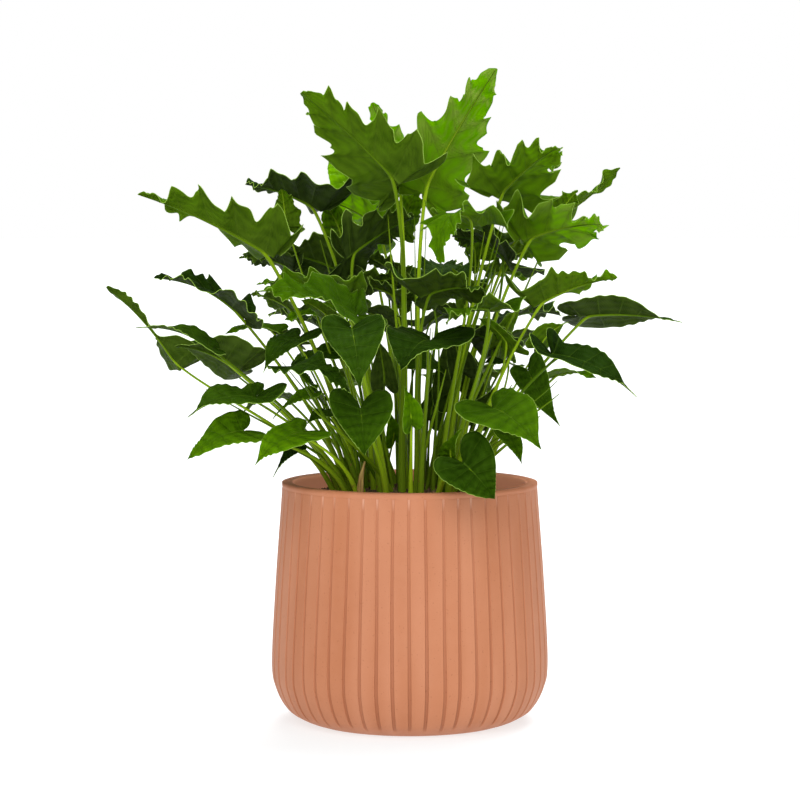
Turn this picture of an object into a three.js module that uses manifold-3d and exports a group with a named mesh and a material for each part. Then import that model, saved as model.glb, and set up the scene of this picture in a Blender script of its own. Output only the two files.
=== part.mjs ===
// Potted philodendron with cut, ruffled leaves on long stems, in a ribbed terracotta planter.
// Millimetres, +Z up, front towards -Y; the origin is the centre of the planter's foot on the floor.
import * as THREE from 'three';
import { mergeVertices } from 'three/addons/utils/BufferGeometryUtils.js';
import Module from 'manifold-3d';

const wasm = await Module();
wasm.setup();

// Planter: a hand-thrown wall that swells to its widest near the foot
const POT_OUTER = [[86, 0], [97, 4], [108, 12], [117, 29], [120.3, 52], [116.5, 125], [111.2, 197]];
const POT_LIP = [[111.4, 205], [110.2, 208], [102.6, 208], [100.6, 205]];
const POT_INNER = [[110, 60], [94, 14]];
const POT_GROOVES = 52;
const GROOVE_DEPTH = 1.2;
const GROOVE_FROM = 10;
const GROOVE_TO = 200;

// Soil: a mound whose flat crown carries the stems
const SOIL_TOP = 201;
const SOIL_CROWN = 68;
const SOIL_SHOULDER = [88, 197];
const SOIL_EDGE = [101.3, 188];
const SOIL_SIDES = 36;

// Stems
const STEM_SIDES = 5;
const STEM_STEPS = 4;
const ROOT_DEPTH = 14;
const ROOT_CLEAR = 6;
const ROOT_SPREAD = 54;
const ROOT_MIDDLE = 8;
const ROOT_LEAN = 0.6;
const SHEATH = 1.7;
const STEM_TAPER = 0.35;
const STEM_REACH = 8;
const STEM_UPRIGHT = 0.8;
const STEM_HANDLE = 0.33;
const STEM_TURN = 0.3;

// Blades
const BLADE = 0.8;
const TIP_ANGLE = 42;
const BASE_SHARE = 0.2;
const REACH = 1.15;
const SINUS_DEPTH = 0.8;
const SINUS_WIDTH = 0.06;
const UNEVEN = 0.1;
const UNEVEN_RATE = 7.3;
const SIDE_PHASE = 1.7;
const LEAF_PHASE = 2.4;
const CALM_TIP = 6;
const TIP_POINT = 0.6;
const TIP_RATE = 5;
const LAST_CUT = 8;

// Clearance between pieces that touch
const GAP = 0.35;

const COLOURS = {
  pot: '#cd8263',
  soil: '#4a3626',
  husk: '#b98a58',
  dark: '#2f6a22',
  bright: '#5c9a2b',
  young: '#8dbb3e',
};

// Outline families: lobes a side, depth of the cuts, their sharpness, degrees that a lobe leans forward,
// angle of the rearmost ribs, how soon the ribs turn forward, taper to the tip, ruffles along the margin,
// height of the pleat that each lobe makes, and the places along the margin and out from the midrib
// where the blade is sampled
const CUT = Array.from({ length: 13 }, (_, i) => i / 12);
const WAVED = Array.from({ length: 9 }, (_, i) => i / 8);
const SMOOTH = [0, 0.06, 0.14, 0.26, 0.42, 0.6, 0.8, 1];
const FEW = [0, 0.1, 0.25, 0.5, 0.75, 1];
const FORMS = {
  lobed: {
    lobes: 6, cut: 0.37, sharp: 1.1, lean: 10, back: 132, ease: 3, taper: 0.5, ruffles: 2.6, pleat: 3,
    places: CUT, shares: [0, 0.5, 1],
  },
  notched: {
    lobes: 4, cut: 0.24, sharp: 1.1, lean: 8, back: 146, ease: 2.8, taper: 0.56, ruffles: 2.2, pleat: 1.7,
    places: WAVED, shares: [0, 0.5, 1],
  },
  waisted: {
    lobes: 2, cut: 0.8, sharp: 3, lean: 4, back: 150, ease: 3, taper: 0.3, ruffles: 1.3, pleat: 0,
    places: WAVED, shares: [0, 1],
  },
  heart: {
    lobes: 0, cut: 0, sharp: 1, lean: 0, back: 160, ease: 2.2, taper: 0.78, ruffles: 1.4, pleat: 0,
    places: SMOOTH, shares: [0, 1],
  },
  small: {
    lobes: 0, cut: 0, sharp: 1, lean: 0, back: 160, ease: 2.2, taper: 0.8, ruffles: 1.2, pleat: 0,
    places: FEW, shares: [0, 1],
  },
};

// One row a leaf: form, colour, leaf base, leaf tip, way the upper side faces, half width,
// fold along the midrib, arch from base to tip, lift of the back lobes, ruffle height, stem radius,
// and the root where it differs from the rule
const LEAVES = [
  ['lobed', 'bright', [-9, -18, 465], [-92, -40, 542], [0, 0.75, 0.65], 52, 0.15, 0.04, 0.5, 5, 2.2],
  ['lobed', 'young', [11, 22, 457], [76, 40, 566], [0, 0.75, 0.5], 52, 0.12, 0.04, 0.6, 5, 2.2],
  ['lobed', 'bright', [76, 9, 453], [124, -61, 495], [0, 0.7, 0.7], 49, 0.12, 0.06, 0.6, 5, 1.9],
  ['lobed', 'young', [98, 6, 416], [162, -42, 431], [0, 0.75, 0.66], 48, 0.15, 0.06, 0.6, 6, 1.9],
  ['notched', 'bright', [85, 73, 412], [189, 101, 480], [0, 0.5, 0.85], 36, 0.15, -0.06, 0.3, 6, 1.8],
  ['lobed', 'bright', [61, -42, 429], [25, -90, 399], [0, 0.2, 1], 38, 0.1, 0.4, 0, 5, 1.6],
  ['lobed', 'bright', [-117, -20, 402], [-229, -60, 456], [0, 0.45, 0.9], 43, 0.55, 0.04, 1, 5, 2.2],
  ['notched', 'dark', [-79, 82, 441], [-145, 64, 465], [0, 0.25, 1], 46, 0.35, 0.06, 0.6, 5, 1.9],
  ['heart', 'young', [-45, 189, 451], [-75, 207, 488], [0, -0.6, 0.8], 32, 0.1, 0.1, 0, 3, 1.6, [-3, 56]],
  ['lobed', 'young', [-22, 118, 420], [-76, 122, 451], [0, 0.6, 0.8], 44, 0.15, 0.1, 0.5, 5, 1.8],
  ['lobed', 'dark', [-55, 38, 400], [4, 74, 437], [0, 0.75, 0.65], 44, 0.2, 0.04, 0.6, 5, 1.9],
  ['notched', 'dark', [-57, 102, 385], [-149, 82, 403], [0, 0.55, 0.85], 42, 0.1, 0.1, 0.5, 5, 1.7],
  ['notched', 'bright', [-52, 2, 364], [-133, 12, 378], [0, 0.4, 0.9], 38, 0.15, 0.1, 0.4, 5, 1.6, [-30, -1]],
  ['notched', 'bright', [-46, -53, 353], [-127, -83, 375], [0, -0.4, 0.9], 42, 0.2, 0.1, 0.3, 5, 1.8],
  ['notched', 'dark', [-143, -40, 352], [-215, -70, 386], [0, -0.25, 1], 36, 0.35, 0.1, -0.2, 4, 1.7],
  ['waisted', 'dark', [-198, -23, 306], [-257, -53, 378], [0.2, 0.5, 0.8], 18, 0.5, 0.06, 1, 3, 1.4],
  ['small', 'dark', [-166, -80, 327], [-227, -110, 346], [0, -0.35, 0.9], 15, 0.25, 0.1, 0, 3, 1.5],
  ['heart', 'dark', [-147, -36, 306], [-199, -58, 328], [0, 0.6, 0.8], 30, 0.25, 0.1, 0.5, 3, 1.4],
  ['heart', 'dark', [-129, -95, 287], [-183, -130, 273], [0, -0.25, 0.95], 28, 0.1, 0.12, 0.4, 3, 1.5],
  ['heart', 'bright', [-138, -119, 261], [-182, -149, 240], [0, -0.6, 0.8], 24, 0.1, 0.12, -0.2, 2, 1.4],
  ['heart', 'bright', [-89, -102, 259], [-127, -142, 235], [0, -0.55, 0.8], 24, 0.1, 0.12, -0.2, 2, 1.4],
  ['small', 'dark', [-94, -50, 241], [-115, -85, 219], [0, -0.4, 0.9], 7, 0.1, 0.12, 0, 1, 1.2],
  ['small', 'bright', [-113, -10, 337], [-158, -30, 337], [0, -0.3, 0.95], 18, 0.1, 0.14, 0, 2, 1.3],
  ['small', 'dark', [-94, -40, 335], [-123, -80, 307], [0, -0.3, 0.95], 20, 0.1, 0.14, 0, 2, 1.3],
  ['notched', 'dark', [-99, -95, 313], [-49, -155, 295], [0, -0.5, 0.85], 22, 0.1, 0.14, 0, 3, 1.4],
  ['heart', 'dark', [-48, -118, 345], [-40, -172, 300], [0, -0.8, 0.6], 29, 0.1, 0.1, -0.2, 4, 1.8],
  ['heart', 'dark', [17, -80, 334], [-8, -150, 313], [0, -0.4, 0.9], 38, 0.15, 0.1, 0, 4, 1.8],
  ['notched', 'dark', [9, -53, 369], [62, -83, 375], [0, 0.5, 0.85], 42, 0.1, 0.1, 0.4, 5, 1.7],
  ['notched', 'dark', [-8, 67, 362], [-46, 62, 374], [0, 0.3, 1], 30, 0.1, 0.12, 0.3, 4, 1.5],
  ['notched', 'bright', [73, -70, 358], [30, -110, 350], [0, 0.3, 0.95], 32, 0.1, 0.12, 0.4, 5, 1.9],
  ['notched', 'bright', [106, -30, 360], [175, -60, 386], [0, 0.45, 0.9], 30, 0.5, 0.06, 0.5, 5, 1.7],
  ['heart', 'dark', [146, 0, 351], [233, -30, 347], [0, 0.6, 0.8], 27, 0.15, 0.05, 0, 4, 1.7],
  ['heart', 'dark', [118, -90, 323], [186, -130, 290], [0, -0.4, 0.9], 23, 0.3, 0.1, 0.9, 3, 1.7],
  ['heart', 'dark', [101, -40, 306], [126, -80, 262], [-0.5, -0.5, 0.6], 18, 0.1, 0.12, 0, 3, 1.5],
  ['small', 'bright', [119, -20, 298], [159, -40, 300], [0, 0, 1], 20, 0.1, 0.12, 0, 3, 1.3],
  ['heart', 'bright', [69, -120, 280], [106, -170, 250], [0, -0.7, 0.7], 31, 0.1, 0.1, 0, 2, 1.6],
  ['heart', 'dark', [44, -130, 235], [69, -152, 208], [0, -0.9, 0.45], 29, 0.08, 0.1, 0, 2, 1.5],
  ['small', 'bright', [81, -80, 257], [93, -100, 232], [0, -0.5, 0.85], 12, 0.1, 0.12, 0, 1, 1.2],
  ['heart', 'dark', [-41, -125, 280], [-37, -160, 244], [0, -0.75, 0.65], 29, 0.15, 0.1, 0, 2, 1.6],
  ['heart', 'young', [1, -90, 265], [-5, -90, 297], [0.3, -0.9, 0.3], 11, 0.5, 0.1, 0, 1, 1.3],
  ['heart', 'dark', [79, 34, 321], [50, 22, 336], [0, 0.6, 0.8], 26, 0.1, 0.12, 0.3, 2, 1.4],
  ['small', 'dark', [94, 28, 305], [64, 20, 309], [0, -0.2, 1], 16, 0.1, 0.12, 0, 2, 1.2],
  ['small', 'dark', [92, 90, 320], [126, 82, 332], [0, 0.3, 0.95], 22, 0.1, 0.12, 0, 2, 1.3],
  ['notched', 'bright', [71, 100, 386], [103, 74, 382], [0, 0.4, 0.9], 30, 0.1, 0.12, 0.2, 4, 1.5],
  ['small', 'dark', [-64, -45, 270], [-88, -70, 262], [0, -0.4, 0.9], 13, 0.1, 0.12, 0, 1, 1.2, [-37, -28]],
  ['small', 'bright', [-82, -36, 287], [-117, -42, 265], [0, -0.4, 0.9], 10, 0.1, 0.12, 0, 1, 1.2],
  ['notched', 'dark', [-70, 110, 330], [-130, 175, 345], [0, 0.3, 0.95], 42, 0.1, 0.1, 0.3, 5, 1.8],
  ['notched', 'dark', [75, 105, 335], [140, 165, 345], [0, 0.3, 0.95], 42, 0.1, 0.1, 0.3, 5, 1.8],
  ['lobed', 'dark', [28, 120, 365], [33, 215, 390], [0, -0.2, 0.95], 46, 0.1, 0.1, 0.3, 5, 1.8],
  ['notched', 'dark', [-34, 122, 285], [-60, 202, 270], [0, 0.3, 0.95], 36, 0.1, 0.1, 0.2, 4, 1.6],
  ['notched', 'dark', [45, 125, 290], [75, 205, 270], [0, 0.3, 0.95], 36, 0.1, 0.1, 0.2, 4, 1.6],
  ['heart', 'dark', [-105, 60, 275], [-150, 105, 260], [0, 0.2, 0.95], 30, 0.1, 0.12, 0, 2, 1.5],
  ['heart', 'dark', [94, 60, 275], [118, 105, 262], [0, 0.2, 0.95], 24, 0.1, 0.12, 0, 2, 1.5],
  ['notched', 'dark', [86, 23, 397], [38, 67, 419], [0, 0.6, 0.8], 38, 0.2, 0.1, 0.4, 5, 1.6],
  ['lobed', 'young', [-7, 43, 462], [-33, 64, 537], [0, 0.8, 0.6], 34, 0.15, 0.05, 0.5, 5, 1.8],
  ['small', 'bright', [88, -10, 322], [59, -10, 350], [0, 0.4, 0.9], 18, 0.1, 0.1, 0, 2, 1.3],
  ['heart', 'dark', [43, 45, 286], [34, 47, 332], [0, 0.8, 0.5], 27, 0.2, 0.1, 0, 2, 1.3],
];

// Dry, papery sheath that stands among the stems at the front
const HUSK_PATH = [[-41, -60, 187], [-42, -62, 207], [-41, -65, 219], [-38, -66, 231]];
const HUSK_RADII = [2.6, 3.2, 2.6, 0.8];

function solidOf(geometry) {
  const bare = geometry.clone();
  bare.deleteAttribute('normal');
  bare.deleteAttribute('uv');
  const merged = mergeVertices(bare, 1e-4);
  const vertProperties = new Float32Array(merged.attributes.position.array);
  const triVerts = new Uint32Array(merged.index.array);
  return new wasm.Manifold(new wasm.Mesh({ numProp: 3, vertProperties, triVerts }));
}

function geometryOf(solid) {
  const mesh = solid.getMesh();
  const geometry = new THREE.BufferGeometry();
  geometry.setAttribute('position', new THREE.BufferAttribute(mesh.vertProperties, 3));
  geometry.setIndex(new THREE.BufferAttribute(mesh.triVerts, 1));
  geometry.computeVertexNormals();
  return geometry;
}

function surface(points, triangles) {
  const geometry = new THREE.BufferGeometry();
  geometry.setAttribute('position', new THREE.Float32BufferAttribute(points.flatMap((p) => p.toArray()), 3));
  geometry.setIndex(triangles.flat());
  return geometry;
}

// Closed surface of revolution whose radius may change from column to column
function turned(profile, sides, radiusAt) {
  const points = [];
  const triangles = [];
  const rows = profile.length;
  profile.forEach(([radius, height], row) => {
    for (let side = 0; side < sides; side += 1) {
      const angle = (2 * Math.PI * side) / sides;
      const reach = radiusAt(radius, height, side, row);
      points.push(new THREE.Vector3(reach * Math.cos(angle), reach * Math.sin(angle), height));
    }
  });
  for (let row = 0; row + 1 < rows; row += 1) {
    for (let side = 0; side < sides; side += 1) {
      const here = row * sides + side;
      const next = row * sides + ((side + 1) % sides);
      triangles.push([here, next, next + sides], [here, next + sides, here + sides]);
    }
  }
  const foot = points.push(new THREE.Vector3(0, 0, profile[0][1])) - 1;
  const crown = points.push(new THREE.Vector3(0, 0, profile[rows - 1][1])) - 1;
  for (let side = 0; side < sides; side += 1) {
    const next = (side + 1) % sides;
    triangles.push([foot, next, side]);
    triangles.push([crown, (rows - 1) * sides + side, (rows - 1) * sides + next]);
  }
  return surface(points, triangles);
}

// Closed tube through the given points, with a radius for each and flat ends
function sweep(points, radii, sides) {
  const rings = [];
  const triangles = [];
  const axis = points.map((point, i) => {
    const before = points[Math.max(i - 1, 0)];
    const after = points[Math.min(i + 1, points.length - 1)];
    return after.clone().sub(before).normalize();
  });
  const across = new THREE.Vector3(1, 0, 0);
  points.forEach((point, i) => {
    across.addScaledVector(axis[i], -across.dot(axis[i])).normalize();
    const along = new THREE.Vector3().crossVectors(axis[i], across);
    for (let side = 0; side < sides; side += 1) {
      const angle = (2 * Math.PI * side) / sides;
      const vertex = point.clone().addScaledVector(across, radii[i] * Math.cos(angle));
      rings.push(vertex.addScaledVector(along, radii[i] * Math.sin(angle)));
    }
  });
  for (let ring = 0; ring + 1 < points.length; ring += 1) {
    for (let side = 0; side < sides; side += 1) {
      const here = ring * sides + side;
      const next = ring * sides + ((side + 1) % sides);
      triangles.push([here, next, next + sides], [here, next + sides, here + sides]);
    }
  }
  const last = (points.length - 1) * sides;
  for (let side = 1; side + 1 < sides; side += 1) {
    triangles.push([0, side + 1, side], [last, last + side, last + side + 1]);
  }
  return surface(rings, triangles);
}

// 1 in the notch between two lobes, 0 along a lobe, and fading to 0 at the tip
function cutAt(form, s) {
  const wave = Math.abs(Math.cos(Math.PI * form.lobes * s)) ** form.sharp;
  return form.lobes ? wave * (1 - s ** LAST_CUT) : 0;
}

// Distance from the midrib to the margin along the rib at s, as a share of the half width
function reachAt(form, s, phase) {
  const notch = 1 - SINUS_DEPTH * Math.exp(-s / SINUS_WIDTH);
  const envelope = REACH * (1 - s) ** form.taper * notch * (1 - TIP_POINT * s ** TIP_RATE);
  return envelope * (1 - form.cut * cutAt(form, s)) * (1 + UNEVEN * Math.sin(UNEVEN_RATE * s + phase));
}

// Point of the blade at s along the margin from the base to the tip, and t from midrib to margin
function bladePoint(leaf, side, s, t) {
  const phase = leaf.phase + SIDE_PHASE * side;
  const along = (leaf.length * Math.max(s - BASE_SHARE, 0)) / (1 - BASE_SHARE);
  const spread = TIP_ANGLE + (leaf.form.back - TIP_ANGLE) * (1 - s) ** leaf.form.ease;
  const angle = THREE.MathUtils.degToRad(spread - leaf.form.lean * (1 - cutAt(leaf.form, s)));
  const reach = t * leaf.width * reachAt(leaf.form, s, phase);
  const x = along + reach * Math.cos(angle);
  const y = reach * Math.sin(angle);
  const calm = Math.min(1, CALM_TIP * (1 - s));
  const ruffle = leaf.wave * t * t * calm * Math.sin(2 * Math.PI * leaf.form.ruffles * s + phase);
  const pleat = leaf.form.pleat * t * calm * (1 - 2 * cutAt(leaf.form, s));
  const arch = x > 0 ? 4 * leaf.arch * x * (1 - x / leaf.length) : -leaf.lift * x;
  return leaf.base.clone()
    .addScaledVector(leaf.u, x)
    .addScaledVector(leaf.v, side * y)
    .addScaledVector(leaf.n, arch + leaf.fold * y + ruffle + pleat);
}

// Thin closed sheet made from an open surface by moving it half the thickness both ways
function thicken(geometry, thickness) {
  const middle = mergeVertices(geometry, 1e-3);
  middle.computeVertexNormals();
  const { position, normal } = middle.attributes;
  const index = Array.from(middle.index.array);
  const count = position.count;
  const points = [1, -1].flatMap((way) => Array.from({ length: count }, (_, i) => {
    const vertex = new THREE.Vector3().fromBufferAttribute(position, i);
    return vertex.addScaledVector(new THREE.Vector3().fromBufferAttribute(normal, i), (way * thickness) / 2);
  }));
  const triangles = [];
  const edges = new Map();
  for (let i = 0; i < index.length; i += 3) {
    const [a, b, c] = index.slice(i, i + 3);
    if (a !== b && b !== c && c !== a) {
      triangles.push([a, b, c], [a + count, c + count, b + count]);
      [[a, b], [b, c], [c, a]].forEach(([p, q]) => edges.set(`${p} ${q}`, [p, q]));
    }
  }
  edges.forEach(([p, q]) => {
    if (!edges.has(`${q} ${p}`)) {
      triangles.push([q, p, p + count], [q, p + count, q + count]);
    }
  });
  return surface(points, triangles);
}

function bladeGeometry(leaf) {
  const { places, shares } = leaf.form;
  const points = [];
  const triangles = [];
  [1, -1].forEach((side) => {
    const start = points.length;
    places.forEach((s) => shares.forEach((t) => points.push(bladePoint(leaf, side, s, t))));
    for (let i = 0; i + 1 < places.length; i += 1) {
      for (let j = 0; j + 1 < shares.length; j += 1) {
        const a = start + i * shares.length + j;
        const b = a + shares.length;
        const quad = [[a, b, b + 1], [a, b + 1, a + 1]];
        quad.forEach(([p, q, r]) => triangles.push(side < 0 ? [p, q, r] : [p, r, q]));
      }
    }
  });
  return thicken(surface(points, triangles), BLADE);
}

// Roots fan out over the crown of the soil: the more a stem leans, the farther out it is rooted
function rootOf(base) {
  const lean = Math.hypot(base.x, base.y) / (base.z - SOIL_TOP);
  const radius = ROOT_MIDDLE + ROOT_SPREAD * (1 - Math.exp(-lean / ROOT_LEAN));
  const azimuth = Math.atan2(base.y, base.x);
  return [radius * Math.cos(azimuth), radius * Math.sin(azimuth)];
}

function stemPath(leaf) {
  const [x, y] = leaf.root;
  const bottom = new THREE.Vector3(x, y, SOIL_TOP - ROOT_DEPTH);
  const end = bladePoint(leaf, 1, BASE_SHARE + ((1 - BASE_SHARE) * STEM_REACH) / leaf.length, 0);
  const rise = end.clone().sub(bottom).normalize().add(new THREE.Vector3(0, 0, STEM_UPRIGHT)).normalize();
  const start = bottom.clone().addScaledVector(rise, (ROOT_DEPTH + ROOT_CLEAR) / rise.z);
  const span = end.distanceTo(start);
  const arrive = end.clone().sub(start).normalize().addScaledVector(leaf.u, STEM_TURN).normalize();
  const curve = new THREE.CubicBezierCurve3(
    start,
    start.clone().addScaledVector(rise, STEM_HANDLE * span),
    end.clone().addScaledVector(arrive, -STEM_HANDLE * span),
    end,
  );
  return [bottom, ...curve.getPoints(STEM_STEPS)];
}

function stemRadii(leaf) {
  const sheath = leaf.stem * SHEATH;
  const upper = Array.from({ length: STEM_STEPS + 1 }, (_, i) => {
    const share = i / STEM_STEPS;
    return leaf.stem * (1 - STEM_TAPER * share) + (sheath - leaf.stem) * (1 - share) ** 3;
  });
  return [sheath, ...upper];
}

const leaves = LEAVES.map((row, i) => {
  const [form, colour, base, tip, face, width, fold, arch, lift, wave, stem, root] = row;
  const leaf = { form: FORMS[form], colour, width, fold, arch, lift, wave, stem, phase: LEAF_PHASE * i };
  leaf.name = `leaf_${String(i + 1).padStart(2, '0')}`;
  leaf.base = new THREE.Vector3(...base);
  leaf.u = new THREE.Vector3(...tip).sub(leaf.base);
  leaf.length = leaf.u.length();
  leaf.u.normalize();
  leaf.n = new THREE.Vector3(...face);
  leaf.n.addScaledVector(leaf.u, -leaf.n.dot(leaf.u)).normalize();
  leaf.v = new THREE.Vector3().crossVectors(leaf.n, leaf.u);
  leaf.root = root ?? rootOf(leaf.base);
  return leaf;
});

const group = new THREE.Group();

function place(name, geometry, colour, roughness) {
  const material = new THREE.MeshStandardMaterial({ color: COLOURS[colour], roughness, metalness: 0 });
  const mesh = new THREE.Mesh(geometry, material);
  mesh.name = name;
  group.add(mesh);
}

// Planter, with a shallow groove at every other column
const potProfile = [...POT_OUTER, ...POT_LIP, ...POT_INNER];
const pot = turned(potProfile, 2 * POT_GROOVES, (radius, height, side, row) => {
  const grooved = row < POT_OUTER.length && height > GROOVE_FROM && height < GROOVE_TO && side % 2 === 0;
  return grooved ? radius - GROOVE_DEPTH : radius;
});
place('pot', pot, 'pot', 0.75);

// Soil, a little clear of the wall, with a plain hole for each stem
const bed = POT_INNER.toReversed().map(([radius, height], i) => [radius - GAP, i ? height : height + GAP]);
const soilProfile = [...bed, [SOIL_EDGE[0] - GAP, SOIL_EDGE[1]], SOIL_SHOULDER, [SOIL_CROWN, SOIL_TOP]];
let soil = solidOf(turned(soilProfile, SOIL_SIDES, (radius) => radius));

function bore(points, radii) {
  const [bottom, top] = points;
  const down = bottom.clone().sub(top).normalize();
  const line = [bottom.clone().addScaledVector(down, GAP), top];
  soil = soil.subtract(solidOf(sweep(line, [radii[0] + GAP, radii[1] + GAP], STEM_SIDES)));
}

leaves.forEach((leaf) => {
  const path = stemPath(leaf);
  const radii = stemRadii(leaf);
  const whole = solidOf(bladeGeometry(leaf)).add(solidOf(sweep(path, radii, STEM_SIDES)));
  place(leaf.name, geometryOf(whole), leaf.colour, 0.4);
  bore(path, radii);
});

const huskPath = HUSK_PATH.map((point) => new THREE.Vector3(...point));
place('dry_sheath', sweep(huskPath, HUSK_RADII, STEM_SIDES), 'husk', 0.9);
bore(huskPath, HUSK_RADII);
place('soil', geometryOf(soil), 'soil', 1);

export default group;
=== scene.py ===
# %% [markdown]
# # A potted philodendron in a grooved terracotta planter
# The plant is a bush of nearly sixty leaves. Each leaf is one living piece: a stalk that rises from the soil,
# and a thin blade with cut lobes and a ruffled, pale edge. The packed solids give every piece its place, so
# this lesson first loads them as a fixed frame and then makes a finer surface for each one. Chance decides
# small things, such as where a crumb lies, and each seed below gives the same chances on every run.

# %% Load the packed frame
import math

import bmesh
import bpy
import numpy as np
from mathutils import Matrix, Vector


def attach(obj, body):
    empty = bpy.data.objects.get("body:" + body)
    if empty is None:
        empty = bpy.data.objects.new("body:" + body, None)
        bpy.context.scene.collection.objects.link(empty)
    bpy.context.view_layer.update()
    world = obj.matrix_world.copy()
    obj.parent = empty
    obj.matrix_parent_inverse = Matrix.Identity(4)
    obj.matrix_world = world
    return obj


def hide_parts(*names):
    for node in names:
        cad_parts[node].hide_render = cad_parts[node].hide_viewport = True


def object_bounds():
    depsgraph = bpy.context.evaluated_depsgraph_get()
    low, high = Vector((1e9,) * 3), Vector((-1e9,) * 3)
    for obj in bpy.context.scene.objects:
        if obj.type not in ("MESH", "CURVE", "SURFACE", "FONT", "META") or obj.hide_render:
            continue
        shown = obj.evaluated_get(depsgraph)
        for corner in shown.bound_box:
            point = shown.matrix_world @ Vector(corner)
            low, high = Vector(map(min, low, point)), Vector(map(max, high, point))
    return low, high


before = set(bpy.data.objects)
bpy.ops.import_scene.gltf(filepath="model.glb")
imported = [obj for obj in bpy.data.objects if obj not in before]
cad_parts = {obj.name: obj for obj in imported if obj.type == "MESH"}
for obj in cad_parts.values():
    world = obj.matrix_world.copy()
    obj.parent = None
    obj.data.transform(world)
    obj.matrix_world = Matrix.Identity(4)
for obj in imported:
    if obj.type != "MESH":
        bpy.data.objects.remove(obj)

CAD_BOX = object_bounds()
MM = 0.001
SEEDS = {"planter": 52, "soil": 7, "leaves": 11, "shoots": 29}
print("frame loaded:", len(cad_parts), "solids")

# %% [markdown]
# ## The sizes of the planter and of the plant
# The planter's wall is a profile turned round the upright axis: a pair is a radius and a height, in
# millimetres. The same values shaped the solids, so the fine surfaces land exactly on them.

# %% Planter and soil sizes
POT_OUTER = [[86, 0], [97, 4], [108, 12], [117, 29], [120.3, 52], [116.5, 125], [111.2, 197]]
POT_LIP = [[111.4, 205], [110.2, 208], [102.6, 208], [100.6, 205]]
POT_INNER = [[110, 60], [94, 14]]
POT_GROOVES = 52
GROOVE_DEPTH = 1.2
GROOVE_FROM = 4
GROOVE_TO = 203.4
SOIL_TOP = 201
SOIL_CROWN = 68
SOIL_SHOULDER = [88, 197]
SOIL_EDGE = [101.3, 188]
print("planter:", 2 * max(radius for radius, height in POT_OUTER), "mm wide,", POT_LIP[1][1], "mm high")

# %% [markdown]
# ## One row for each leaf
# A leaf is placed by two points, where the blade meets its stalk and where it ends, and by the way its upper
# side faces. The other numbers bend it: its half width, a fold along the midrib, an arch from base to tip,
# lobes at the back that lift or hang, the height of the ruffles, and the stalk's thickness. Five families of
# outline cover the plant, from the deeply lobed grown leaves at the top to the plain heart shapes low down.
# A family's row says how many lobes there are, how deep and sharp the cuts are, how far the ribs lean and
# open at the back, how the width tapers, and how many ruffles and side veins a margin has.

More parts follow.
